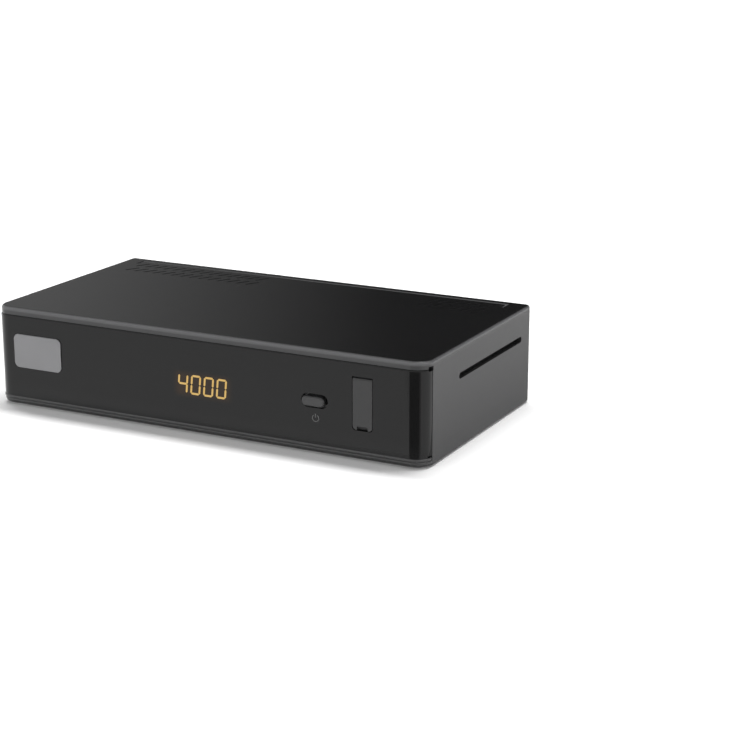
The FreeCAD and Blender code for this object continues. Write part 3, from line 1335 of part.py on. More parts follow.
def make_card_reader():
    """The card reader: moulded guide, sheet cover, sprung contacts, board and spacers."""
    near = "(%s - reader_width / 2)" % CARD_Y
    guide = block("reader_guide", (READER_LEFT, near, READER_BOTTOM),
                  ("reader_length", "reader_width", "%s - %s" % (READER_TOP, READER_BOTTOM)))
    passage = block("reader_passage",
                    ("%s - card_passage_depth" % READER_RIGHT, "%s - card_passage_width / 2" % CARD_Y,
                     "%s - card_passage_height / 2" % CARD_LEVEL),
                    ("card_passage_depth + wall", "card_passage_width", "card_passage_height"))
    window_x = "(%s - reader_window_depth)" % READER_RIGHT
    window = block("reader_window",
                   ("%s - reader_window_length / 2" % window_x, "%s - reader_window_width / 2" % CARD_Y,
                    "%s - wall" % READER_BOTTOM),
                   ("reader_window_length", "reader_window_width",
                    "reader_floor + wall + card_passage_height / 2"))
    finish(carved("reader_cut", guide, [passage, window]), "card_reader_frame")
    outer = block("reader_cover_outer",
                  (READER_LEFT, "%s - reader_skin" % near, "%s + reader_floor" % READER_BOTTOM),
                  ("reader_length - reader_skin", "reader_width + 2 * reader_skin",
                   "%s + reader_skin - %s - reader_floor" % (READER_TOP, READER_BOTTOM)))
    inner = block("reader_cover_inner", ("%s - wall" % READER_LEFT, near, READER_BOTTOM),
                  ("reader_length + 2 * wall", "reader_width", "%s - %s" % (READER_TOP, READER_BOTTOM)))
    finish(carved("reader_cover_cut", outer, [inner]), "card_reader_cover")
    make_card_contacts(window_x)
    plate = block("reader_plate", (READER_LEFT, near, READER_BOARD_BOTTOM),
                  ("reader_length", "reader_width", "reader_board_thickness"))
    finish(plate, "reader_board")
    spacers = [
        prism("reader_spacer_%d" % index, (across, along, BOARD_TOP), HEAD_SIDES, "reader_spacer_radius",
              "%s - %s" % (READER_BOARD_BOTTOM, BOARD_TOP))
        for index, (across, along) in enumerate(reader_corners())
    ]
    finish(grouped("spacer_group", spacers), "reader_spacers")


def make_card_contacts(window_x):
    """Eight bent spring leaves that stand up through the guide's window."""
    leaves = []
    tip = "(%s - card_passage_height / 4)" % CARD_LEVEL
    for line, sign in enumerate((-1, 1)):
        for number in range(4):
            body = new_body("contact_%d_%d" % (line, number))
            offset = "((%s) * contact_pitch)" % (number - 1.5)
            leaf = sketch_on(body, "XZ_Plane", "-1 * (%s + %s + contact_width / 2)" % (CARD_Y, offset),
                             "contact_profile_%d_%d" % (line, number))
            root = "(%s + (%d) * contact_rows_apart / 2 - (%d) * contact_length / 2)" % (window_x, sign,
                                                                                         sign)
            crest = "(%s + (%d) * contact_length * 3 / 4)" % (root, sign)
            end = "(%s + (%d) * contact_length)" % (root, sign)
            draw_polygon(leaf, [
                (root, READER_BOTTOM), (root, "%s + contact_thickness" % READER_BOTTOM),
                (crest, tip), (end, "%s - contact_thickness" % tip),
                (end, "%s - 2 * contact_thickness" % tip),
                (crest, "%s - contact_thickness" % tip),
                ("%s + (%d) * contact_thickness" % (root, sign), READER_BOTTOM),
            ])
            pad(body, leaf, "contact_width")
            leaves.append(body)
    finish(grouped("contact_group", leaves), "card_contacts")


def make_ribbons():
    """The flat cable up to the reader board and the one across to the display board."""
    body = new_body("reader_ribbon_body")
    strip = sketch_on(body, "XZ_Plane", "-1 * (%s + ribbon_width / 2)" % CARD_Y, "reader_ribbon_profile")
    start = "(%s - ribbon_bulge)" % READER_LEFT
    draw_polygon(strip, [
        (start, BOARD_TOP), (start, "%s + reader_board_thickness / 2" % READER_BOARD_BOTTOM),
        (READER_LEFT, "%s + reader_board_thickness / 2" % READER_BOARD_BOTTOM),
        (READER_LEFT, "%s + reader_board_thickness / 2 - ribbon_thickness" % READER_BOARD_BOTTOM),
        ("%s + ribbon_thickness" % start,
         "%s + reader_board_thickness / 2 - ribbon_thickness" % READER_BOARD_BOTTOM),
        ("%s + ribbon_thickness" % start, BOARD_TOP),
    ])
    pad(body, strip, "ribbon_width")
    finish(body, "reader_ribbon")
    front_body = new_body("front_ribbon_body")
    profile = sketch_on(front_body, "YZ_Plane", "%s - ribbon_width / 2" % DISPLAY_X,
                        "front_ribbon_profile")
    far = "(%s + ribbon_bulge)" % DISPLAY_BOARD_BACK
    level = "(%s + ribbon_bulge)" % BOARD_TOP
    draw_polygon(profile, [
        (DISPLAY_BOARD_BACK, "%s + ribbon_thickness" % level),
        ("%s + ribbon_thickness" % far, "%s + ribbon_thickness" % level),
        ("%s + ribbon_thickness" % far, BOARD_TOP), (far, BOARD_TOP), (far, level),
        (DISPLAY_BOARD_BACK, level),
    ])
    pad(front_body, profile, "ribbon_width")
    finish(front_body, "front_ribbon")


def make_processor():
    """The main processor under its finned heatsink."""
    depth = "(%s + processor_depth)" % FRONT
    chip = block("processor_chip",
                 ("processor_x - processor_size / 2", "%s - processor_size / 2" % depth, BOARD_TOP),
                 ("processor_size", "processor_size", "processor_height"))
    finish(chip, "main_processor")
    body = new_body("heatsink_body")
    base_z = "(%s + processor_height)" % BOARD_TOP
    base = sketch_on(body, "XY_Plane", base_z, "heatsink_foot")
    half = "(heatsink_size / 2)"
    draw_rectangle(base, "processor_x - " + half, "processor_x + " + half, "%s - %s" % (depth, half),
                   "%s + %s" % (depth, half))
    pad(body, base, "heatsink_base")
    fin = sketch_on(body, "XY_Plane", "%s + heatsink_base" % base_z, "heatsink_fin")
    draw_rectangle(fin, "processor_x - " + half, "processor_x - %s + fin_thickness" % half,
                   "%s - %s" % (depth, half), "%s + %s" % (depth, half))
    first = pad(body, fin, "heatsink_height - heatsink_base")
    repeat(body, first, fin, "H_Axis", "heatsink_size - fin_thickness", "fin_count")
    finish(body, "heatsink")


def make_chips():
    """Memory, flash and regulator chips and the crystal."""
    chips = [
        block("memory_%d" % index,
              ("processor_x + (%d) * (heatsink_size / 2 + memory_gap) - memory_length / 2" % sign,
               "%s + front_board_screw_depth" % FRONT, BOARD_TOP),
              ("memory_length", "memory_width", "memory_height"))
        for index, sign in enumerate((-1, 1))
    ]
    finish(grouped("memory_group", chips), "memory_chips")
    flash = block("flash_block", ("flash_x - flash_size / 2", "%s + processor_depth" % FRONT, BOARD_TOP),
                  ("flash_size", "flash_size", "flash_height"))
    finish(flash, "flash_chip")
    half = "((crystal_length - crystal_width) / 2)"
    depth = "(%s + processor_depth)" % FRONT
    middle = block("crystal_middle",
                   ("crystal_x - " + half, "%s - crystal_width / 2" % depth, BOARD_TOP),
                   ("2 * " + half, "crystal_width", "crystal_height"))
    ends = [
        rod("crystal_end_%d" % index, ("crystal_x + (%d) * %s" % (sign, half), depth, BOARD_TOP),
            "crystal_width / 2", "crystal_height")
        for index, sign in enumerate((-1, 1))
    ]
    finish(joined("crystal_can", [middle] + ends), "crystal")


def make_power_parts():
    """Electrolytic capacitors, wound inductors and regulators near the inlet."""
    capacitors = []
    inductors = []
    regulators = []
    for index in range(SIZES["capacitor_count"]):
        across = "(%s - capacitor_first_inset + %d * capacitor_pitch)" % (SIDE, index)
        spot = "(%s - capacitor_margin)" % REAR
        can = prism("capacitor_can_%d" % index, (across, spot, BOARD_TOP), ROUND_SIDES,
                    "capacitor_radius", "capacitor_height")
        capacitors.append(can)
        near = "(%s - inductor_margin)" % REAR
        foot = block("inductor_foot_%d" % index,
                     ("%s - inductor_size / 2" % across, "%s - inductor_size / 2" % near, BOARD_TOP),
                     ("inductor_size", "inductor_size", "inductor_rim"))
        coil = prism("inductor_coil_%d" % index, (across, near, BOARD_TOP), SHANK_SIDES,
                     "inductor_winding_radius", "inductor_height")
        inductors.append(joined("inductor_%d" % index, [foot, coil]))
        regulators.append(block("regulator_%d" % index,
                                ("%s - regulator_length / 2" % across, "%s - regulator_margin" % REAR,
                                 BOARD_TOP),
                                ("regulator_length", "regulator_width", "regulator_height")))
    finish(grouped("capacitor_group", capacitors), "capacitors")
    finish(grouped("inductor_group", inductors), "inductors")
    finish(grouped("regulator_group", regulators), "regulators")


def check_and_write():
    """Refuses a failed or empty object, then writes one file for each sub-part."""
    doc.recompute()
    for item in doc.Objects:
        if "Invalid" in item.State or "Error" in item.State:
            raise RuntimeError("%s failed: %s" % (item.Name, item.State))
    for item in sub_parts:
        if item.Shape.isNull() or not item.Shape.isValid():
            raise RuntimeError(item.Label + " has no valid shape")
    os.makedirs("parts", exist_ok=True)
    for item in sub_parts:
        item.Shape.exportStep("parts/%s.step" % item.Label)


make_top_cover()
make_base_tray()
make_front_fascia()
make_front_frame()
make_rear_panel()
make_feet()
make_case_screws()
make_board_screws()
make_display_board()
make_display_screws()
make_power_button()
make_tact_switch()
make_usb_door()
make_usb_socket()
make_main_board()
make_tuner()
make_scart_socket()
make_ethernet_socket()
make_hdmi_socket()
make_spdif_socket()
make_inlet()
make_card_reader()
make_ribbons()
make_processor()
make_chips()
make_power_parts()
check_and_write()
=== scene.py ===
import bmesh
import bpy
import math
import numpy as np
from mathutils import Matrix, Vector


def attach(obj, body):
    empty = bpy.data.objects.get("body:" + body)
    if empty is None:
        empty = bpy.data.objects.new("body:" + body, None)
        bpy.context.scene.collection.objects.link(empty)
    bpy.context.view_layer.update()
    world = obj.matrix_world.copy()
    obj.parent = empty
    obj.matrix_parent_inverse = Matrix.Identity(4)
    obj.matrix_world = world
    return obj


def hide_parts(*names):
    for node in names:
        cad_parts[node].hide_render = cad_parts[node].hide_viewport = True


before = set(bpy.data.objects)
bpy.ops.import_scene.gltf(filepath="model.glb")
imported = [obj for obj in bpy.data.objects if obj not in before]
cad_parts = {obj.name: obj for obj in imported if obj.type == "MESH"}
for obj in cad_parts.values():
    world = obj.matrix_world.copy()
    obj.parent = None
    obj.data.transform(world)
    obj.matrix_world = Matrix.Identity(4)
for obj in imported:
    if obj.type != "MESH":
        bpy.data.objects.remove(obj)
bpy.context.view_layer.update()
bpy.context.scene.view_settings.view_transform = "Standard"

# ---------------------------------------------------------------------------
# The table under the receiver: a plain white sweep that runs out of view.
# It keeps the soft contact shadow and is plain white everywhere else.
# ---------------------------------------------------------------------------

MM = 0.001


def add_mesh(name, points, faces, crease=35.0):
    """A mesh object from rows of points in millimetres and lists of corner numbers, faces outward."""
    mesh = bpy.data.meshes.new(name)
    mesh.from_pydata((np.asarray(points, float) * MM).tolist(), [], [list(face) for face in faces])
    sorter = bmesh.new()
    sorter.from_mesh(mesh)
    bmesh.ops.recalc_face_normals(sorter, faces=sorter.faces)
    sorter.to_mesh(mesh)
    sorter.free()
    mesh.shade_smooth()
    mesh.set_sharp_from_angle(angle=math.radians(crease))
    item = bpy.data.objects.new(name, mesh)
    bpy.context.scene.collection.objects.link(item)
    return item


def new_material(name):
    """An empty node material with its output; returns the material, its nodes and its links."""
    material = bpy.data.materials.new(name)
    material.use_nodes = True
    nodes, links = material.node_tree.nodes, material.node_tree.links
    nodes.clear()
    nodes.new("ShaderNodeOutputMaterial")
    return material, nodes, links


def worked_out(nodes, links, operation, *values):
    """The result of a Math node whose inputs are sockets or plain numbers."""
    node = nodes.new("ShaderNodeMath")
    node.operation = operation
    for socket, value in zip(node.inputs, values):
        if isinstance(value, bpy.types.NodeSocket):
            links.new(value, socket)
        else:
            socket.default_value = value
    return node.outputs[0]


def mapped(nodes, links, value, low, high, start=0.0, end=1.0, smooth=False):
    """start + (end - start) * (value - low) / (high - low), held between start and end; smooth eases both."""
    span = nodes.new("ShaderNodeMapRange")
    span.interpolation_type = "SMOOTHSTEP" if smooth else "LINEAR"
    for socket, number in (("From Min", low), ("From Max", high), ("To Min", start), ("To Max", end)):
        span.inputs[socket].default_value = number
    links.new(value, span.inputs["Value"])
    return span.outputs["Result"]


def seen_directly(nodes, links):
    """A value that is 1 for rays from the camera, from gloss and through glass, and 0 for the rest."""
    path = nodes.new("ShaderNodeLightPath")
    camera_or_gloss = worked_out(nodes, links, "MAXIMUM", path.outputs["Is Camera Ray"],
                                 path.outputs["Is Glossy Ray"])
    return worked_out(nodes, links, "MAXIMUM", camera_or_gloss, path.outputs["Is Transmission Ray"])


SWEEP_REACH = 6000.0
sweep = add_mesh("table_sweep", [(-SWEEP_REACH, -SWEEP_REACH, 0), (SWEEP_REACH, -SWEEP_REACH, 0),
                                 (SWEEP_REACH, SWEEP_REACH, 0), (-SWEEP_REACH, SWEEP_REACH, 0)],
                 [(0, 1, 2, 3)])
sweep_paper, nodes, links = new_material("sweep_paper")
paper = nodes.new("ShaderNodeBsdfDiffuse")
paper.inputs["Color"].default_value = (0.96, 0.96, 0.96, 1)
where = nodes.new("ShaderNodeTexCoord")
away = nodes.new("ShaderNodeVectorMath")
away.operation = "LENGTH"
links.new(where.outputs["Object"], away.inputs[0])
distance_glow = mapped(nodes, links, away.outputs["Value"], 0.35, 1.6, start=0.08, end=0.8)
glow = nodes.new("ShaderNodeEmission")
links.new(worked_out(nodes, links, "MULTIPLY", seen_directly(nodes, links), distance_glow),
          glow.inputs["Strength"])
both = nodes.new("ShaderNodeAddShader")
links.new(paper.outputs[0], both.inputs[0])
links.new(glow.outputs[0], both.inputs[1])
links.new(both.outputs[0], nodes["Material Output"].inputs["Surface"])
sweep.data.materials.append(sweep_paper)

# ---------------------------------------------------------------------------
# The room: a white surround for even fill, two soft lamps over the back of the
# set, one at the right and one in front, and cards that only gloss sees. The
# camera stands at the front right, a little above the case.
# ---------------------------------------------------------------------------

FILL_LEVEL = 0.18

world = bpy.data.worlds.new("studio")
bpy.context.scene.world = world
world.use_nodes = True
nodes, links = world.node_tree.nodes, world.node_tree.links
surround = nodes["Background"]
surround.inputs["Color"].default_value = (1, 1, 1, 1)
links.new(mapped(nodes, links, seen_directly(nodes, links), 0.0, 1.0, start=FILL_LEVEL),
          surround.inputs["Strength"])


def add_softbox(name, place, aim, width, height, power, in_gloss=True):
    """A rectangular area lamp at a place in metres, turned to face its aim."""
    lamp = bpy.data.lights.new(name, "AREA")
    lamp.shape = "RECTANGLE"
    lamp.size, lamp.size_y = width, height
    lamp.energy = power
    item = bpy.data.objects.new(name, lamp)
    item.location = place
    item.rotation_euler = (Vector(aim) - Vector(place)).to_track_quat("-Z", "Y").to_euler()
    item.visible_glossy = in_gloss
    bpy.context.scene.collection.objects.link(item)


add_softbox("rear_softbox", (0.10, 0.39, 1.60), (0, 0, 0), width=0.66, height=0.40, power=7.0)
add_softbox("wide_softbox", (-0.02, 0.40, 1.60), (-0.02, 0, 0), width=2.2, height=0.40, power=28.0,
            in_gloss=False)
add_softbox("right_softbox", (1.3, -0.25, 0.75), (0, 0, 0.02), width=0.9, height=0.9, power=3.2)
add_softbox("front_softbox", (-0.5, -1.25, 0.40), (0, 0, 0.02), width=1.2, height=0.5, power=6.0,
            in_gloss=False)


def object_axes(nodes, links):
    """The X, Y and Z of a point of the surface in Object coordinates, in metres."""
    where = nodes.new("ShaderNodeTexCoord")
    axes = nodes.new("ShaderNodeSeparateXYZ")
    links.new(where.outputs["Object"], axes.inputs[0])
    return axes.outputs["X"], axes.outputs["Y"], axes.outputs["Z"]


def colour_run(nodes, links, measure, stops):
    """A colour that runs straight between stops of (measure, colour), given in order of measure; returns it
    and the measure's place in the run, 0 at the first stop and 1 at the last."""
    first, last = stops[0][0], stops[-1][0]
    place = mapped(nodes, links, measure, first, last)
    ramp = nodes.new("ShaderNodeValToRGB")
    marks = ramp.color_ramp.elements
    marks[0].color, marks[1].color = (*stops[0][1], 1), (*stops[-1][1], 1)
    for at, colour in stops[1:-1]:
        marks.new((at - first) / (last - first)).color = (*colour, 1)
    links.new(place, ramp.inputs["Fac"])
    return ramp.outputs["Color"], place


def add_card(name, corners, levels, fan=None):
    """A flat card that only gloss sees. Its strength runs straight between the pairs of levels: (X in
    millimetres, strength) or, with a fan's point, (turn about that point in degrees, strength)."""
    card = add_mesh(name, corners, [range(len(corners))])
    cloth, nodes, links = new_material(name + "_cloth")
    along_x, along_y, _ = object_axes(nodes, links)
    measure, unit = along_x, MM
    if fan:
        measure = worked_out(nodes, links, "ARCTAN2",
                             worked_out(nodes, links, "SUBTRACT", along_y, fan[1] * MM),
                             worked_out(nodes, links, "SUBTRACT", along_x, fan[0] * MM))
        unit = math.radians(1.0)
    stops = [(at * unit, (level, level, level)) for at, level in levels]
    glow = nodes.new("ShaderNodeEmission")
    links.new(colour_run(nodes, links, measure, stops)[0], glow.inputs["Strength"])
    links.new(glow.outputs[0], nodes["Material Output"].inputs["Surface"])
    card.data.materials.append(cloth)
    card.visible_camera = False
    card.visible_diffuse = False
    card.visible_shadow = False
    card.visible_transmission = False


add_card("rear_card", [(-1500, 900, 60), (1400, 900, 60), (1400, 900, 1150), (-1500, 900, 1150)],
         [(-800, 0.30), (-400, 0.0)])
add_card("corner_card", [(82.3, -57.8, 0.4), (23.9, -175.1, 0.4), (60.8, -196.6, 0.4),
                         (138.1, -189.9, 0.4), (200.9, -131.8, 0.4), (94.9, -54.8, 0.4)],
         [(-116.5, 1.05), (-106.0, 0.26), (-52.0, 0.26), (-36.0, 1.05)], fan=(86.8, -48.9))
add_card("side_card", [(91.5, -60, 0.3), (260, 230, 0.3), (160, 330, 0.3), (91.5, 120, 0.3)],
         [(91, 0.55), (145, 1.02)])

camera_data = bpy.data.cameras.new("camera")
camera_data.lens = 91.65
camera_data.sensor_width = 36.0
camera_data.clip_start = 0.01
camera = bpy.data.objects.new("camera", camera_data)
camera.location = (0.35086, -0.60373, 0.21142)
camera.rotation_euler = Vector((-0.4372, 0.8565, -0.2743)).to_track_quat("-Z", "Y").to_euler()
bpy.context.scene.collection.objects.link(camera)
bpy.context.scene.camera = camera

# ---------------------------------------------------------------------------
# Top cover and base tray: moulded shells of black styrene that nest and are
# screwed from below. The tool is spark-eroded, so the skin is satin.
# ---------------------------------------------------------------------------


def make_moulded_skin():
    """The skin of a spark-eroded tool. Height is a fine noise; tone is 1 + spread * (slow noise - 0.5);
    roughness is the base roughness times the tone."""
    group = bpy.data.node_groups.new("moulded_skin", "ShaderNodeTree")
    for name, way in (("Grain per metre", "INPUT"), ("Tone spread", "INPUT"), ("Base roughness", "INPUT"),
                      ("Height", "OUTPUT"), ("Tone", "OUTPUT"), ("Roughness", "OUTPUT")):
        group.interface.new_socket(name, in_out=way, socket_type="NodeSocketFloat")
    nodes, links = group.nodes, group.links
    given = nodes.new("NodeGroupInput")
    result = nodes.new("NodeGroupOutput")
    where = nodes.new("ShaderNodeTexCoord")
    fine = nodes.new("ShaderNodeTexNoise")
    fine.inputs["Detail"].default_value = 3.0
    links.new(where.outputs["Object"], fine.inputs["Vector"])
    links.new(given.outputs["Grain per metre"], fine.inputs["Scale"])
    links.new(fine.outputs["Fac"], result.inputs["Height"])
    slow = nodes.new("ShaderNodeTexNoise")
    slow.inputs["Scale"].default_value = 38.0
    slow.inputs["Detail"].default_value = 4.0
    links.new(where.outputs["Object"], slow.inputs["Vector"])
    centred = worked_out(nodes, links, "SUBTRACT", slow.outputs["Fac"], 0.5)
    tone = worked_out(nodes, links, "MULTIPLY_ADD", centred, given.outputs["Tone spread"], 1.0)
    links.new(tone, result.inputs["Tone"])
    links.new(worked_out(nodes, links, "MULTIPLY", tone, given.outputs["Base roughness"]),
              result.inputs["Roughness"])
    return group


moulded_skin = make_moulded_skin()


def skin_finish(name, colour, roughness, grain, spread, bump, specular, metallic):
    """A material whose skin group drives tone, roughness and bump. Its nodes "shader", "tint" and "relief"
    can be fed further; a finish without a colour gets one by height."""
    material, nodes, links = new_material(name)
    shader = nodes.new("ShaderNodeBsdfPrincipled")
    shader.name = "shader"
    shader.inputs["Metallic"].default_value = metallic
    shader.inputs["Specular IOR Level"].default_value = specular
    skin = nodes.new("ShaderNodeGroup")
    skin.node_tree = moulded_skin
    skin.inputs["Grain per metre"].default_value = grain
    skin.inputs["Tone spread"].default_value = spread
    skin.inputs["Base roughness"].default_value = roughness
    tint = nodes.new("ShaderNodeVectorMath")
    tint.name = "tint"
    tint.operation = "SCALE"
    if colour:
        tint.inputs[0].default_value = colour
    links.new(skin.outputs["Tone"], tint.inputs["Scale"])
    links.new(tint.outputs["Vector"], shader.inputs["Base Color"])
    links.new(skin.outputs["Roughness"], shader.inputs["Roughness"])
    relief = nodes.new("ShaderNodeBump")
    relief.name = "relief"
    relief.inputs["Strength"].default_value = bump
    relief.inputs["Distance"].default_value = 0.0001
    links.new(skin.outputs["Height"], relief.inputs["Height"])
    links.new(relief.outputs["Normal"], shader.inputs["Normal"])
    links.new(shader.outputs[0], nodes["Material Output"].inputs["Surface"])
    return material


def moulded_plastic(name, colour, roughness, grain=2600.0, spread=0.25, bump=0.05, specular=0.5):
    """A moulded plastic, from satin to gloss."""
    return skin_finish(name, colour, roughness, grain, spread, bump, specular, metallic=0.0)


def dress(material, *names):
    """Gives CAD nodes their finish through their objects' material slots."""
    for name in names:
        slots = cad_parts[name].data.materials
        if len(slots):
            slots[0] = material
        else:
            slots.append(material)


def toned_by_height(material, stops):
    """Runs a finish's colour straight between stops of (height in millimetres, colour), given upwards;
    returns the height's place in the run, 0 to 1."""
    nodes, links = material.node_tree.nodes, material.node_tree.links
    height = object_axes(nodes, links)[2]
    colour, place = colour_run(nodes, links, height, [(level * MM, tone) for level, tone in stops])
    links.new(colour, nodes["tint"].inputs[0])
    return place


def grey(level):
    """A neutral black, a trace cooler than grey."""
    return (level, level, level * 1.03)


shell_black = moulded_plastic("shell_black", None, 0.25, spread=0.06, bump=0.03, specular=0.40)
# Painted light by height: the colour rises to a pale band from 37.7 to 38.25 mm, a painted highlight along
# the cover's rounded top edge, and the roof above 38.65 mm is painted darker than the sides as painted shade.
toned_by_height(shell_black, [(35.6, grey(0.036)), (37.0, grey(0.046)), (37.7, grey(0.105)),
                              (38.25, grey(0.105)), (38.65, grey(0.0075))])
dress(shell_black, "top_cover", "base_tray")

# ---------------------------------------------------------------------------
# Front fascia: a plate of dark gloss plastic, clear enough over the display
# for its digits to show. It wraps round both corners and hooks on the frame.
# ---------------------------------------------------------------------------

fascia_gloss = moulded_plastic("fascia_gloss", None, 0.06, spread=0.3, bump=0.0, specular=0.28)
# Painted light: the plate is lighter towards its lower edge, to offset the darker reflection of the shadowed
# table there.
toned_by_height(fascia_gloss, [(3.0, grey(0.0095)), (10.0, grey(0.004))])
nodes, links = fascia_gloss.node_tree.nodes, fascia_gloss.node_tree.links
along_x, _, along_z = object_axes(nodes, links)
masks = []
# A painted glow of the lit display on the plate's face: the middle of the display, and how far from it the
# glow is full and gone, in millimetres.
for axis, middle, full, none in ((along_x, 1.65, 9.6, 13.2), (along_z, 18.9, 2.6, 5.8)):
    off = worked_out(nodes, links, "ABSOLUTE",
                     worked_out(nodes, links, "SUBTRACT", axis, middle * MM))
    masks.append(mapped(nodes, links, off, full * MM, none * MM, start=1.0, end=0.0, smooth=True))
display_glow = nodes.new("ShaderNodeVectorMath")
display_glow.operation = "SCALE"
display_glow.inputs[0].default_value = (0.019, 0.0075, 0.0)
links.new(worked_out(nodes, links, "MULTIPLY", *masks), display_glow.inputs["Scale"])
links.new(display_glow.outputs["Vector"], nodes["shader"].inputs["Emission Color"])
nodes["shader"].inputs["Emission Strength"].default_value = 1.0
dress(fascia_gloss, "front_fascia")

# ---------------------------------------------------------------------------
# Front frame and rear panel: the matt moulding that the fascia hooks on, and
# the painted steel sheet that holds the sockets.
# ---------------------------------------------------------------------------

frame_black = moulded_plastic("frame_black", (0.015, 0.015, 0.016), 0.5, bump=0.06)
dress(frame_black, "front_frame")
panel_paint = moulded_plastic("panel_paint", (0.018, 0.018, 0.019), 0.48, grain=1500.0, bump=0.25)
dress(panel_paint, "rear_panel")

# ---------------------------------------------------------------------------
# Edge beads: two fine half-round ridges moulded along the tray's lip. The upper
# one closes the seam under the fascia, and both catch the light from above.
# ---------------------------------------------------------------------------

FASCIA_FACE = -51.4
LIP_FACE = -51.0
CORNER_RADIUS = 6.0
CORNER_START = 84.8


def skin_faces(copies, rows, columns, ring_closed=False):
    """Corner numbers of skins over grids of rows and columns: each row joins the next and each column the
    next one round. An open stack of rows is capped at both ends."""
    number = np.arange(rows * columns).reshape(rows, columns)
    lower = number if ring_closed else number[:-1]
    upper = np.roll(number, -1, 0) if ring_closed else number[1:]
    quads = np.stack([lower, np.roll(lower, -1, 1), np.roll(upper, -1, 1), upper], -1).reshape(1, -1, 4)
    starts = (np.arange(copies) * rows * columns)[:, None, None]
    faces = (quads + starts).reshape(-1, 4).tolist()
    if not ring_closed:
        faces += (number[[0, -1]][None] + starts).reshape(-1, columns).tolist()
    return faces


def skinned(name, rings, ring_closed=False, crease=35.0):
    """One or more closed skins from an array of points (copies, rows, columns, 3)."""
    return add_mesh(name, rings.reshape(-1, 3), skin_faces(*rings.shape[:3], ring_closed), crease)


def edge_bead(name, front, level, half_height=0.56, proud=0.2, sink=0.5, steps=15):
    """An ellipse carried round the front: straight at the front line, then an arc of 86 degrees round each
    corner. It stands out by the least of proud and radius / sin(angle) - radius - 0.01, so its ends stay
    inside the sides, and reaches in by sink."""
    arc = np.radians(np.linspace(86, 0, steps))
    bend = np.concatenate([-arc, np.zeros(1), arc[::-1]])
    middle = np.concatenate([np.full(steps, -CORNER_START), [0.0], np.full(steps, CORNER_START)])
    out = np.stack([np.sin(bend), -np.cos(bend)], 1)
    room = CORNER_RADIUS / np.maximum(abs(np.sin(bend)), 0.2) - CORNER_RADIUS - 0.01
    stand = np.minimum(proud, room)
    around = np.radians(np.arange(0, 360, 30))
    offset = (stand + sink)[:, None] * (np.cos(around) + 1) / 2.0 - sink
    centre = np.stack([middle, np.full(len(bend), front + CORNER_RADIUS)], 1)
    flat = centre[:, None] + out[:, None] * (CORNER_RADIUS + offset[..., None])
    up = np.broadcast_to(level + half_height * np.sin(around), offset.shape)
    return skinned(name, np.concatenate([flat, up[..., None]], -1)[None], crease=60.0)


# The beads' black is lighter than the tray's own as a painted highlight, on top of the light their rounded
# ridges catch.
bead_black_painted_highlight = moulded_plastic("bead_black_painted_highlight", (0.055, 0.055, 0.056), 0.27, spread=0.06, bump=0.03)
for bead in (edge_bead("seam_bead", FASCIA_FACE, 3.32), edge_bead("lip_bead", LIP_FACE, 2.1)):
    bead.data.materials.append(bead_black_painted_highlight)
    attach(bead, "housing")

# ---------------------------------------------------------------------------
# Lit digits: four figures of seven-bar display, seen through the dark plate.
# Each bar is a flat hexagon, and the figures lean a little to the right.
# ---------------------------------------------------------------------------

# The bars of a figure run top, upper right, lower right, bottom, lower left, upper left, middle. Each is
# given by its two ends, in bar widths and half heights from the figure's lower left.
BAR_ENDS = np.array([[(0, 2), (1, 2)], [(1, 2), (1, 1)], [(1, 1), (1, 0)], [(0, 0), (1, 0)],
                     [(0, 1), (0, 0)], [(0, 2), (0, 1)], [(0, 1), (1, 1)]], float)
LIT_BARS = {"0": (0, 1, 2, 3, 4, 5), "4": (1, 2, 5, 6)}


def lamp_bars(name, figures, left, low, pitch, width, height, stroke, gap, lean, depth):
    """Flat lit bars round the fascia's face: each is a convex hexagon with ends at 45 degrees, short of its
    corner by the gap, and sheared by x += lean * z."""
    chosen = [(place, bar) for place, figure in enumerate(figures) for bar in LIT_BARS[figure]]
    places = np.array([place for place, bar in chosen], float)
    tips = BAR_ENDS[[bar for place, bar in chosen]] * (width - stroke, (height - stroke) / 2.0)
    along = tips[:, 1] - tips[:, 0]
    length = np.linalg.norm(along, axis=1, keepdims=True)
    along = along / length
    side = np.stack([-along[:, 1], along[:, 0]], 1)
    belly = stroke / 2.0
    # Corners of a bar: run from its first end, share of its length, side.
    corners = np.array([(gap, 0, 0), (gap + belly, 0, 1), (-gap - belly, 1, 1), (-gap, 1, 0),
                        (-gap - belly, 1, -1), (gap + belly, 0, -1)])
    run = corners[None, :, :1] + corners[None, :, 1:2] * length[:, None]
    flat = tips[:, None, 0] + along[:, None] * run + side[:, None] * corners[None, :, 2:] * belly
    across = left + belly + places[:, None] * pitch + flat[..., 0] + lean * flat[..., 1]
    up = low + belly + flat[..., 1]
    layers = [np.stack([across, np.full_like(across, FASCIA_FACE + shift), up], -1)
              for shift in (-depth, depth)]
    return skinned(name, np.stack(layers, 1))


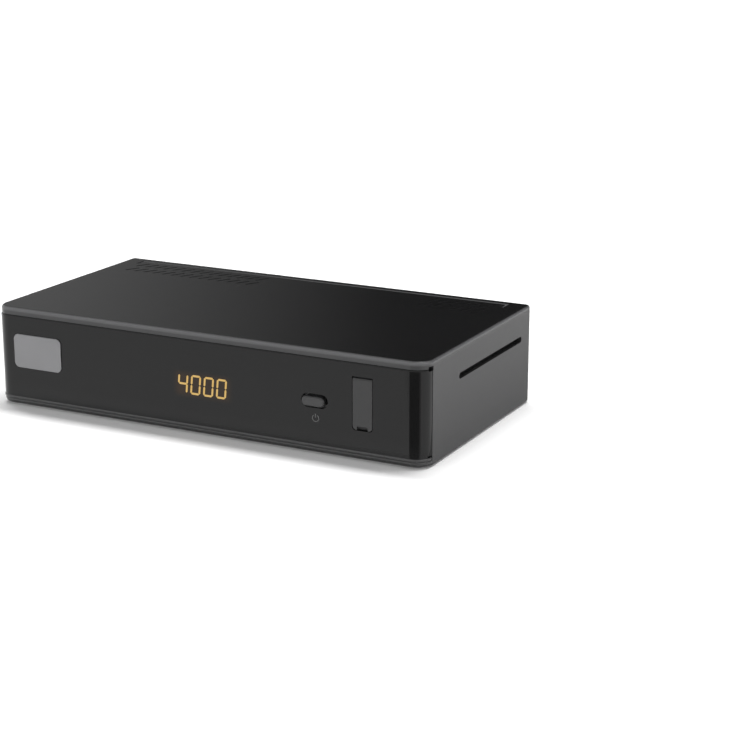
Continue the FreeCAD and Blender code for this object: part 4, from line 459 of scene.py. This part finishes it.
def lit_amber(name, colour, pale_colour):
    """A lamp bar seen through dark plastic: its light drifts between two ambers with a slow noise."""
    material, nodes, links = new_material(name)
    shader = nodes.new("ShaderNodeBsdfPrincipled")
    shader.inputs["Base Color"].default_value = (0.05, 0.02, 0.004, 1)
    shader.inputs["Roughness"].default_value = 0.2
    shader.inputs["Emission Strength"].default_value = 1.0
    where = nodes.new("ShaderNodeTexCoord")
    drift = nodes.new("ShaderNodeTexNoise")
    drift.inputs["Scale"].default_value = 420.0
    links.new(where.outputs["Object"], drift.inputs["Vector"])
    blend = nodes.new("ShaderNodeMix")
    blend.data_type = "RGBA"
    blend.inputs["A"].default_value = (*colour, 1)
    blend.inputs["B"].default_value = (*pale_colour, 1)
    links.new(drift.outputs["Fac"], blend.inputs["Factor"])
    links.new(blend.outputs["Result"], shader.inputs["Emission Color"])
    links.new(shader.outputs[0], nodes["Material Output"].inputs["Surface"])
    return material


digits = lamp_bars("lit_digits", "4000", left=-9.15, low=15.2, pitch=5.45, width=4.25, height=7.45,
                   stroke=0.74, gap=0.05, lean=0.09, depth=0.03)
digits.data.materials.append(lit_amber("digit_amber", (0.56, 0.34, 0.06), (0.616, 0.425, 0.144)))
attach(digits, "housing")

# ---------------------------------------------------------------------------
# Badge plate: a small bare plate of brushed light alloy, glued to the left
# end of the fascia.
# ---------------------------------------------------------------------------


def rounded_plate(name, centre, size, radius, depth, bevel, rows=7):
    """A plate on the fascia's face: a rounded rectangle that shrinks by the bevel's quarter circle,
    bevel * (1 - cos a), as it rises by bevel * sin a to its front."""
    turns = np.radians(np.linspace(0, 360, 33)[:-1] + 5.625)
    out = np.stack([np.cos(turns), np.sin(turns)], 1)
    outline = np.sign(out) * (np.array(size) / 2.0 - radius) + radius * out
    rise = np.radians(np.linspace(0, 90, rows))
    shrink = np.concatenate([[0.0], bevel * (1 - np.cos(rise))])
    height = np.concatenate([[0.0], depth - bevel + bevel * np.sin(rise)])
    rings = centre + outline - out * shrink[:, None, None]
    levels = np.broadcast_to((FASCIA_FACE - height)[:, None], rings.shape[:2])
    return skinned(name, np.stack([rings[..., 0], levels, rings[..., 1]], -1)[None])


def plated_metal(name, colour, roughness):
    """A plated or brushed metal surface."""
    return skin_finish(name, colour, roughness, grain=900.0, spread=0.3, bump=0.03, specular=0.5,
                       metallic=1.0)


badge = rounded_plate("badge_plate", (-71.4, 22.2), (21.6, 13.2), radius=2.2, depth=0.45, bevel=0.25)
badge.data.materials.append(plated_metal("badge_alloy", (0.21, 0.21, 0.215), 0.38))
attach(badge, "housing")

# ---------------------------------------------------------------------------
# Power mark: the usual broken ring with a bar, printed under the button in
# pale grey ink.
# ---------------------------------------------------------------------------


def broken_ring(name, centre, radius, stroke, gap, depth):
    """A rectangle carried round the circle, open at the top by the gap in degrees each way, and an upright
    bar from 0.15 to 1.25 radii above the centre."""
    corners = np.array([(-1, -1), (1, -1), (1, 1), (-1, 1)])
    turns = np.radians(np.linspace(90 + gap, 450 - gap, 33))
    reach = radius + corners[:, 0] * stroke / 2.0
    ring = np.stack([reach * np.cos(turns)[:, None], reach * np.sin(turns)[:, None]], -1)
    bar = np.stack(np.broadcast_arrays(corners[:, 0] * stroke / 2.0,
                                       np.array([[0.15], [1.25]]) * radius), -1)
    flat = np.concatenate([ring, bar]) + centre
    levels = np.broadcast_to(FASCIA_FACE + corners[:, 1] * depth, flat.shape[:2])
    points = np.stack([flat[..., 0], levels, flat[..., 1]], -1).reshape(-1, 3)
    bar_faces = np.array(skin_faces(1, 2, 4)) + ring.shape[0] * 4
    return add_mesh(name, points, skin_faces(1, ring.shape[0], 4) + bar_faces.tolist())


power_mark = broken_ring("power_mark", (48.2, 13.5), radius=1.25, stroke=0.34, gap=32.0, depth=0.02)
power_mark.data.materials.append(moulded_plastic("mark_ink", (0.085, 0.085, 0.085), 0.5, bump=0.0))
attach(power_mark, "housing")

# ---------------------------------------------------------------------------
# Power button and the tact switch behind it: a satin grey key that slides in
# the frame, and the switch's small plunger that it pushes.
# ---------------------------------------------------------------------------

button_grey = moulded_plastic("button_grey", (0.0275, 0.0275, 0.0283), 0.32)
dress(button_grey, "power_button")
switch_black = moulded_plastic("switch_black", (0.02, 0.02, 0.021), 0.45)
dress(switch_black, "tact_switch_body", "tact_switch_plunger")

# ---------------------------------------------------------------------------
# USB door, and the socket and tongue behind it: a grey flap on two moulded
# pins, a tin-plated shell and a white contact tongue.
# ---------------------------------------------------------------------------

door_grey = moulded_plastic("door_grey", (0.0195, 0.0195, 0.02), 0.34, spread=0.9)
dress(door_grey, "usb_door")
tin_plate = plated_metal("tin_plate", (0.46, 0.47, 0.48), 0.36)
dress(tin_plate, "usb_socket")
insulator_white = moulded_plastic("insulator_white", (0.78, 0.78, 0.75), 0.42, spread=0.1)
dress(insulator_white, "usb_tongue")

# ---------------------------------------------------------------------------
# Tin cans: the tuner's screen and the crystal's case, which stand on the main
# board, and the cover folded over the card guide. All are dull tinned steel,
# coloured darker than the plated shells as painted shade for the dim inside of the case.
# ---------------------------------------------------------------------------

dull_tin_painted_shade = plated_metal("dull_tin_painted_shade", (0.17, 0.172, 0.175), 0.5)
dress(dull_tin_painted_shade, "tuner_can", "card_reader_cover", "crystal")

# ---------------------------------------------------------------------------
# Feet: four discs of soft rubber, each pressed on a round boss of the tray's
# underside.
# ---------------------------------------------------------------------------

foot_rubber = moulded_plastic("foot_rubber", (0.022, 0.022, 0.022), 0.85, grain=1800.0, bump=0.3,
                              specular=0.3)
dress(foot_rubber, "rubber_feet")

# ---------------------------------------------------------------------------
# Aerial connectors: a pair of brass turnings, plated with nickel. Each has a
# hexagon that bears on the rear panel and a threaded barrel round an insulator.
# ---------------------------------------------------------------------------

AERIAL_LEVEL = 16.6
AERIAL_IN_X = -72.8
AERIAL_OUT_X = -54.8


def turned(name, centres, levels, radii, upright=False, ring_closed=False, columns=48):
    """Turnings about parallel axes, along Y or upright: centre + radius * (cos, sin) of the turn at each
    level. Each row has one level and one radius, or one of them for each column."""
    radii = np.asarray(radii, float)
    if radii.ndim == 1:
        radii = np.repeat(radii[:, None], columns, 1)
    levels = np.asarray(levels, float)
    if levels.ndim == 1:
        levels = np.repeat(levels[:, None], radii.shape[1], 1)
    turns = np.arange(radii.shape[1]) * 2 * np.pi / radii.shape[1]
    across, up = radii * np.cos(turns), radii * np.sin(turns)
    order = (across, up, levels) if upright else (across, levels, up)
    places = np.array([(a, b, 0) if upright else (a, 0, b) for a, b in centres], float)
    return skinned(name, np.stack(order, -1)[None] + places[:, None, None], ring_closed)


def screw_thread(levels, columns, pitch, root, crest, run_in, run_out):
    """Radii of a thread: root + (crest - root) * a flat-topped wave of level / pitch - turn / 360, which
    fades over the run-in and run-out lengths at its two ends."""
    turns = np.arange(columns) / columns
    wave = np.clip(0.5 - 0.9 * np.cos(2 * np.pi * (levels[:, None] / pitch - turns)), 0, 1)
    fade = np.clip((levels - levels[0]) / run_in, 0, 1) * np.clip((levels[-1] - levels) / run_out, 0, 1)
    return root + (crest - root) * wave * fade[:, None]


def aerial_connector(name, centre_x, columns=48, apothem=4.85, pitch=0.794, root=4.40, crest=4.76):
    """Hexagon, apothem / cos(turn folded into 60 degrees - 30), held under a cone for its chamfer; then the
    3/8-32 thread; then the rounded mouth, which runs in to the insulator's seat."""
    folded = np.mod(np.arange(columns) * 360.0 / columns, 60.0) - 30.0
    hexagon = apothem / np.cos(np.radians(folded))
    chamfer_cone = np.array([9.0, 5.6, 5.45, 5.05])[:, None]
    nut_levels = [40.85, 42.55, 42.9, 43.2]
    thread_levels = np.arange(43.2, 52.61, pitch / 8)
    thread = screw_thread(thread_levels, columns, pitch, root, crest, run_in=0.6, run_out=0.4)
    mouth = np.repeat(np.array([4.38, 4.20, 3.50, 3.30, 3.20, 3.20])[:, None], columns, 1)
    mouth_levels = [52.75, 53.0, 53.0, 52.9, 52.75, 46.0]
    return turned(name, [(centre_x, AERIAL_LEVEL)], np.concatenate([nut_levels, thread_levels, mouth_levels]),
                  np.concatenate([np.minimum(hexagon, chamfer_cone), thread, mouth]))


connector_nickel = plated_metal("connector_nickel", (0.50, 0.49, 0.46), 0.27)
dress(connector_nickel, "dc_inlet_pin")
for part, node, place in (("aerial_in_turning", "lnb_in_connector", AERIAL_IN_X),
                          ("aerial_out_turning", "lnb_out_connector", AERIAL_OUT_X)):
    turning = aerial_connector(part, place)
    turning.data.materials.append(connector_nickel)
    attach(turning, "housing")
    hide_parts(node)

insulators = turned("aerial_insulators", [(AERIAL_IN_X, AERIAL_LEVEL), (AERIAL_OUT_X, AERIAL_LEVEL)],
                    levels=[46.0, 52.2, 52.35, 52.4, 52.4, 52.2, 52.0, 51.9, 47.0],
                    radii=[3.18, 3.18, 3.12, 2.95, 1.60, 1.30, 0.95, 0.60, 0.60])
insulators.data.materials.append(insulator_white)
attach(insulators, "housing")
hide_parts("lnb_insulators")

# ---------------------------------------------------------------------------
# Screws: zinc-plated steel. Those in the tray are pan heads with a cross
# recess and a coarse thread that cuts its own way into the cover's lugs.
# ---------------------------------------------------------------------------

screw_steel = plated_metal("screw_steel", (0.45, 0.45, 0.44), 0.32)
dress(screw_steel, "board_screws", "display_board_screws")


def cross_head_screws(name, centres, columns=40, head=2.7, pitch=1.25, root=1.05, crest=1.45):
    """Head: level = 0.8 + 0.9 * (r / head) ^ 2.4, cut in by a cross of two tapered slots that grow shallow
    outwards; then the rim, the underside, a coarse thread and the point."""
    turns = np.arange(columns) * 2 * np.pi / columns
    rings = np.concatenate([np.linspace(0.06, 1.75, 22), np.linspace(1.9, head, 6)])
    radii = rings[:, None] * np.ones(columns)
    off_cross = np.minimum(abs(radii * np.cos(turns)), abs(radii * np.sin(turns)))
    half_slot, wall, slot_end, end_slope = 0.42 - 0.12 * radii, 0.12, 1.6, 0.45
    slot = np.clip((half_slot - off_cross) / wall, 0, 1) * np.clip((slot_end - radii) / end_slope, 0, 1)
    head_levels = 0.8 + 0.9 * (radii / head) ** 2.4 + 0.95 * slot * (1 - 0.3 * radii)
    thread_levels = np.arange(2.6, 12.5, pitch / 6)
    thread = screw_thread(thread_levels, columns, pitch, root, crest, run_in=0.6, run_out=0.8)
    underside = np.repeat(np.array([head, 2.55, 1.1])[:, None], columns, 1)
    point = np.repeat(np.array([0.85, 0.25])[:, None], columns, 1)
    lower_levels = np.concatenate([[2.4, 2.5, 2.5], thread_levels, [12.9, 13.5]])
    lower_levels = np.repeat(lower_levels[:, None], columns, 1)
    return turned(name, centres, np.concatenate([head_levels, lower_levels]),
                  np.concatenate([radii, underside, thread, point]), upright=True)


tray_screws = cross_head_screws("tray_screws", [(a, b) for a in (-85.1, 85.1) for b in (-37.8, 34.4)])
tray_screws.data.materials.append(screw_steel)
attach(tray_screws, "housing")
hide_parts("case_screws")

# ---------------------------------------------------------------------------
# Moulded sockets: black housings for the wide audio and video plug, the
# network plug, digital audio, the supply plug and the card guide.
# ---------------------------------------------------------------------------

socket_black = moulded_plastic("socket_black", (0.018, 0.018, 0.018), 0.42)
dress(socket_black, "scart_socket", "ethernet_socket", "spdif_socket", "dc_inlet", "card_reader_frame")

# ---------------------------------------------------------------------------
# Digital audio jack: a rolled nickel sleeve over the moulded barrel, an orange
# insulator in its mouth and a sprung tube for the plug's pin.
# ---------------------------------------------------------------------------

JACK = [(58.68, 15.6)]

sleeve = turned("digital_audio_sleeve", JACK, ring_closed=True,
                levels=[42.85, 51.25, 51.45, 51.6, 51.62, 51.55, 51.35, 42.85],
                radii=[4.24, 4.24, 4.16, 4.00, 3.80, 3.62, 3.55, 3.55])
sleeve.data.materials.append(connector_nickel)
pin_tube = turned("digital_audio_pin_tube", JACK, ring_closed=True,
                  levels=[44.0, 51.0, 51.2, 51.2, 44.0], radii=[1.66, 1.66, 1.55, 1.38, 1.38])
pin_tube.data.materials.append(connector_nickel)
orange_ring = turned("digital_audio_insulator", JACK, ring_closed=True,
                     levels=[50.5, 51.45, 51.54, 51.54, 51.45, 50.5],
                     radii=[3.56, 3.56, 3.45, 1.85, 1.72, 1.72])
orange_ring.data.materials.append(moulded_plastic("insulator_orange", (0.55, 0.16, 0.02), 0.40, spread=0.1))
for piece, slot in ((sleeve, "connector_nickel"), (pin_tube, "connector_nickel"),
                    (orange_ring, "socket_black")):
    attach(piece, "housing")

# ---------------------------------------------------------------------------
# Flat video socket: a drawn steel shell, plated, with two slanted lower
# corners, and a thin moulded tongue a little inside its mouth.
# ---------------------------------------------------------------------------

SHELL_CORNERS = [(34.86, 9.6), (46.26, 9.6), (48.06, 11.4), (48.06, 15.6), (33.06, 15.6), (33.06, 11.4)]
TONGUE_CORNERS = [(35.56, 12.0), (45.56, 12.0), (45.56, 13.2), (35.56, 13.2)]


def rounded_outline(corners, inset, radius, steps=6):
    """A convex outline set in by the inset, each corner an arc: centre = corner + (inset + radius) *
    (n1 + n2) / (1 + n1 . n2), swept from -n1 to -n2, where n1 and n2 are the inward normals of its edges."""
    corners = np.asarray(corners, float)
    run = np.roll(corners, -1, 0) - corners
    run /= np.linalg.norm(run, axis=1, keepdims=True)
    inward = np.stack([-run[:, 1], run[:, 0]], 1)
    before = np.roll(inward, 1, 0)
    bisector = (before + inward) / (1 + np.sum(before * inward, 1, keepdims=True))
    first = np.arctan2(-before[:, 1], -before[:, 0])
    swing = np.mod(np.arctan2(-inward[:, 1], -inward[:, 0]) - first, 2 * np.pi)
    angles = first[:, None] + swing[:, None] * np.linspace(0, 1, steps)
    centres = corners + bisector * (inset + radius)
    return (centres[:, None] + radius * np.stack([np.cos(angles), np.sin(angles)], -1)).reshape(-1, 2)


def drawn(name, corners, rows):
    """A skin over a stack of outlines of the same corners. Each row is (inset, radius, level along Y)."""
    rings = [np.insert(rounded_outline(corners, inset, radius), 1, level, axis=1)
             for inset, radius, level in rows]
    return skinned(name, np.stack(rings)[None])


video_shell = drawn("video_shell", SHELL_CORNERS,
                    [(0.0, 0.9, 30.35), (0.0, 0.9, 42.15), (0.06, 0.84, 42.3), (0.18, 0.72, 42.35),
                     (0.34, 0.56, 42.3), (0.45, 0.45, 42.1), (0.45, 0.45, 31.0)])
video_shell.data.materials.append(connector_nickel)
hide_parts("hdmi_socket")
video_tongue = drawn("video_tongue", TONGUE_CORNERS,
                     [(0.0, 0.15, 30.9), (0.0, 0.15, 41.3), (0.12, 0.1, 41.5)])
video_tongue.data.materials.append(socket_black)
for piece, slot in ((video_shell, "connector_nickel"), (video_tongue, "socket_black")):
    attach(piece, "housing")

# ---------------------------------------------------------------------------
# Contacts: gold-plated strip, cut and bent. They lie on the video and data
# tongues, slope down in the network socket and stand in the wide socket's slots.
# ---------------------------------------------------------------------------

contact_gold = plated_metal("contact_gold", (0.78, 0.55, 0.20), 0.24)


def strips(name, path, places, wide, width, thickness):
    """Bent strips: the path's points, half a width each way along one axis and half a thickness each way
    along the path's normal (tangent x width axis), repeated at each place."""
    path, places, wide = np.asarray(path, float), np.asarray(places, float), np.asarray(wide, float)
    tangent = np.gradient(path, axis=0)
    normal = np.cross(tangent, wide)
    normal /= np.linalg.norm(normal, axis=1, keepdims=True)
    corner = np.array([(-1, -1), (1, -1), (1, 1), (-1, 1)]) / 2.0
    ring = (path[:, None] + corner[None, :, :1] * width * wide
            + corner[None, :, 1:] * thickness * normal[:, None])
    piece = skinned(name, ring[None] + places[:, None, None])
    piece.data.materials.append(contact_gold)
    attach(piece, "housing")


strips("video_contacts", [(40.56, 32.0, 13.2), (40.56, 40.4, 13.2), (40.56, 41.1, 13.17)],
       places=[(1.0 * n - 4.5, 0, 0) for n in range(10)], wide=(1, 0, 0), width=0.45, thickness=0.06)
strips("data_contacts", [(66.45, -46.1, 20.5), (66.44, -45.6, 20.5), (66.44, -38.0, 20.5)],
       places=[(0, 0, offset) for offset in (-3.5, -1.0, 1.0, 3.5)], wide=(0, 0, 1), width=1.1,
       thickness=0.08)
strips("network_contacts",
       [(19.44, 41.9, 20.55), (19.44, 40.6, 20.45), (19.44, 39.4, 20.0), (19.44, 36.5, 18.6),
        (19.44, 33.8, 17.3), (19.44, 32.6, 17.1), (19.44, 30.5, 17.6)],
       places=[(1.02 * (n - 3.5), 0, 0) for n in range(8)], wide=(1, 0, 0), width=0.46, thickness=0.26)
strips("wide_socket_contacts",
       [(-34.63, 35.0, 16.225), (-34.75, 38.0, 16.225), (-34.63, 40.5, 16.225), (-34.45, 42.1, 16.225)],
       places=[(3.8 * n, 0, rise) for rise in (0.0, 6.75) for n in range(10)], wide=(0, 0, 1), width=2.5,
       thickness=0.26)

# ---------------------------------------------------------------------------
# Circuit boards: glass-epoxy with green lacquer over copper tracks. The main one
# is screwed to the tray's posts and the display's to the front frame. The one
# under the card guide stands on spacers.
# ---------------------------------------------------------------------------

# The tracks are bands round the middles of square cells: the sine of 38 times the distance, cut off
# between 0.1 and 0.4.
board_lacquer, nodes, links = new_material("board_lacquer")
where = nodes.new("ShaderNodeTexCoord")
cells = nodes.new("ShaderNodeTexVoronoi")
cells.distance = "CHEBYCHEV"
cells.inputs["Scale"].default_value = 130.0
cells.inputs["Randomness"].default_value = 0.7
links.new(where.outputs["Object"], cells.inputs["Vector"])
bands = worked_out(nodes, links, "MULTIPLY", cells.outputs["Distance"], 38.0)
copper = mapped(nodes, links, worked_out(nodes, links, "SINE", bands), 0.1, 0.4)
lacquer = nodes.new("ShaderNodeMix")
lacquer.data_type = "RGBA"
lacquer.inputs["A"].default_value = (0.006, 0.075, 0.030, 1)
lacquer.inputs["B"].default_value = (0.020, 0.150, 0.055, 1)
links.new(copper, lacquer.inputs["Factor"])
relief = nodes.new("ShaderNodeBump")
relief.inputs["Strength"].default_value = 0.3
relief.inputs["Distance"].default_value = 0.00005
links.new(copper, relief.inputs["Height"])
shader = nodes.new("ShaderNodeBsdfPrincipled")
shader.inputs["Roughness"].default_value = 0.35
links.new(lacquer.outputs["Result"], shader.inputs["Base Color"])
links.new(relief.outputs["Normal"], shader.inputs["Normal"])
links.new(shader.outputs[0], nodes["Material Output"].inputs["Surface"])
dress(board_lacquer, "main_board", "display_board", "reader_board")

# ---------------------------------------------------------------------------
# Display module and remote eye: dark clear epoxy, soldered to the small board
# behind the fascia.
# ---------------------------------------------------------------------------

display_smoke = moulded_plastic("display_smoke", (0.012, 0.007, 0.006), 0.12, bump=0.0)
dress(display_smoke, "led_display", "ir_receiver")

# ---------------------------------------------------------------------------
# Parts on the board: epoxy chips, coils and regulators, the finned heatsink,
# the sleeved capacitors, brass contacts and the two flat cables.
# ---------------------------------------------------------------------------

chip_epoxy = moulded_plastic("chip_epoxy", (0.018, 0.018, 0.019), 0.6, grain=3200.0, bump=0.2)
dress(chip_epoxy, "main_processor", "memory_chips", "flash_chip", "inductors", "regulators")
sink_alloy = plated_metal("sink_alloy", (0.72, 0.73, 0.74), 0.42)
dress(sink_alloy, "heatsink")
contact_brass = plated_metal("contact_brass", (0.80, 0.58, 0.25), 0.26)
dress(contact_brass, "card_contacts", "reader_spacers")
sleeve_blue = moulded_plastic("sleeve_blue", None, 0.32, spread=0.1, bump=0.03)
bare_top = toned_by_height(sleeve_blue, [(20.45, (0.012, 0.030, 0.110)), (20.5, (0.62, 0.62, 0.63))])
sleeve_blue.node_tree.links.new(bare_top, sleeve_blue.node_tree.nodes["shader"].inputs["Metallic"])
dress(sleeve_blue, "capacitors")


def ribbon_finish(name, across):
    """Flat cable: ridges a millimetre apart over its conductors, along the axis given. The wave turns through
    20 * 314.16 radians in a metre."""
    material = moulded_plastic(name, (0.36, 0.36, 0.35), 0.5, spread=0.1, bump=0.8)
    nodes, links = material.node_tree.nodes, material.node_tree.links
    where = nodes.new("ShaderNodeTexCoord")
    ridges = nodes.new("ShaderNodeTexWave")
    ridges.bands_direction = across
    ridges.inputs["Scale"].default_value = 314.16
    links.new(where.outputs["Object"], ridges.inputs["Vector"])
    links.new(ridges.outputs["Fac"], nodes["relief"].inputs["Height"])
    return material


dress(ribbon_finish("cable_grey_cross", "Y"), "reader_ribbon")
dress(ribbon_finish("cable_grey_long", "X"), "front_ribbon")
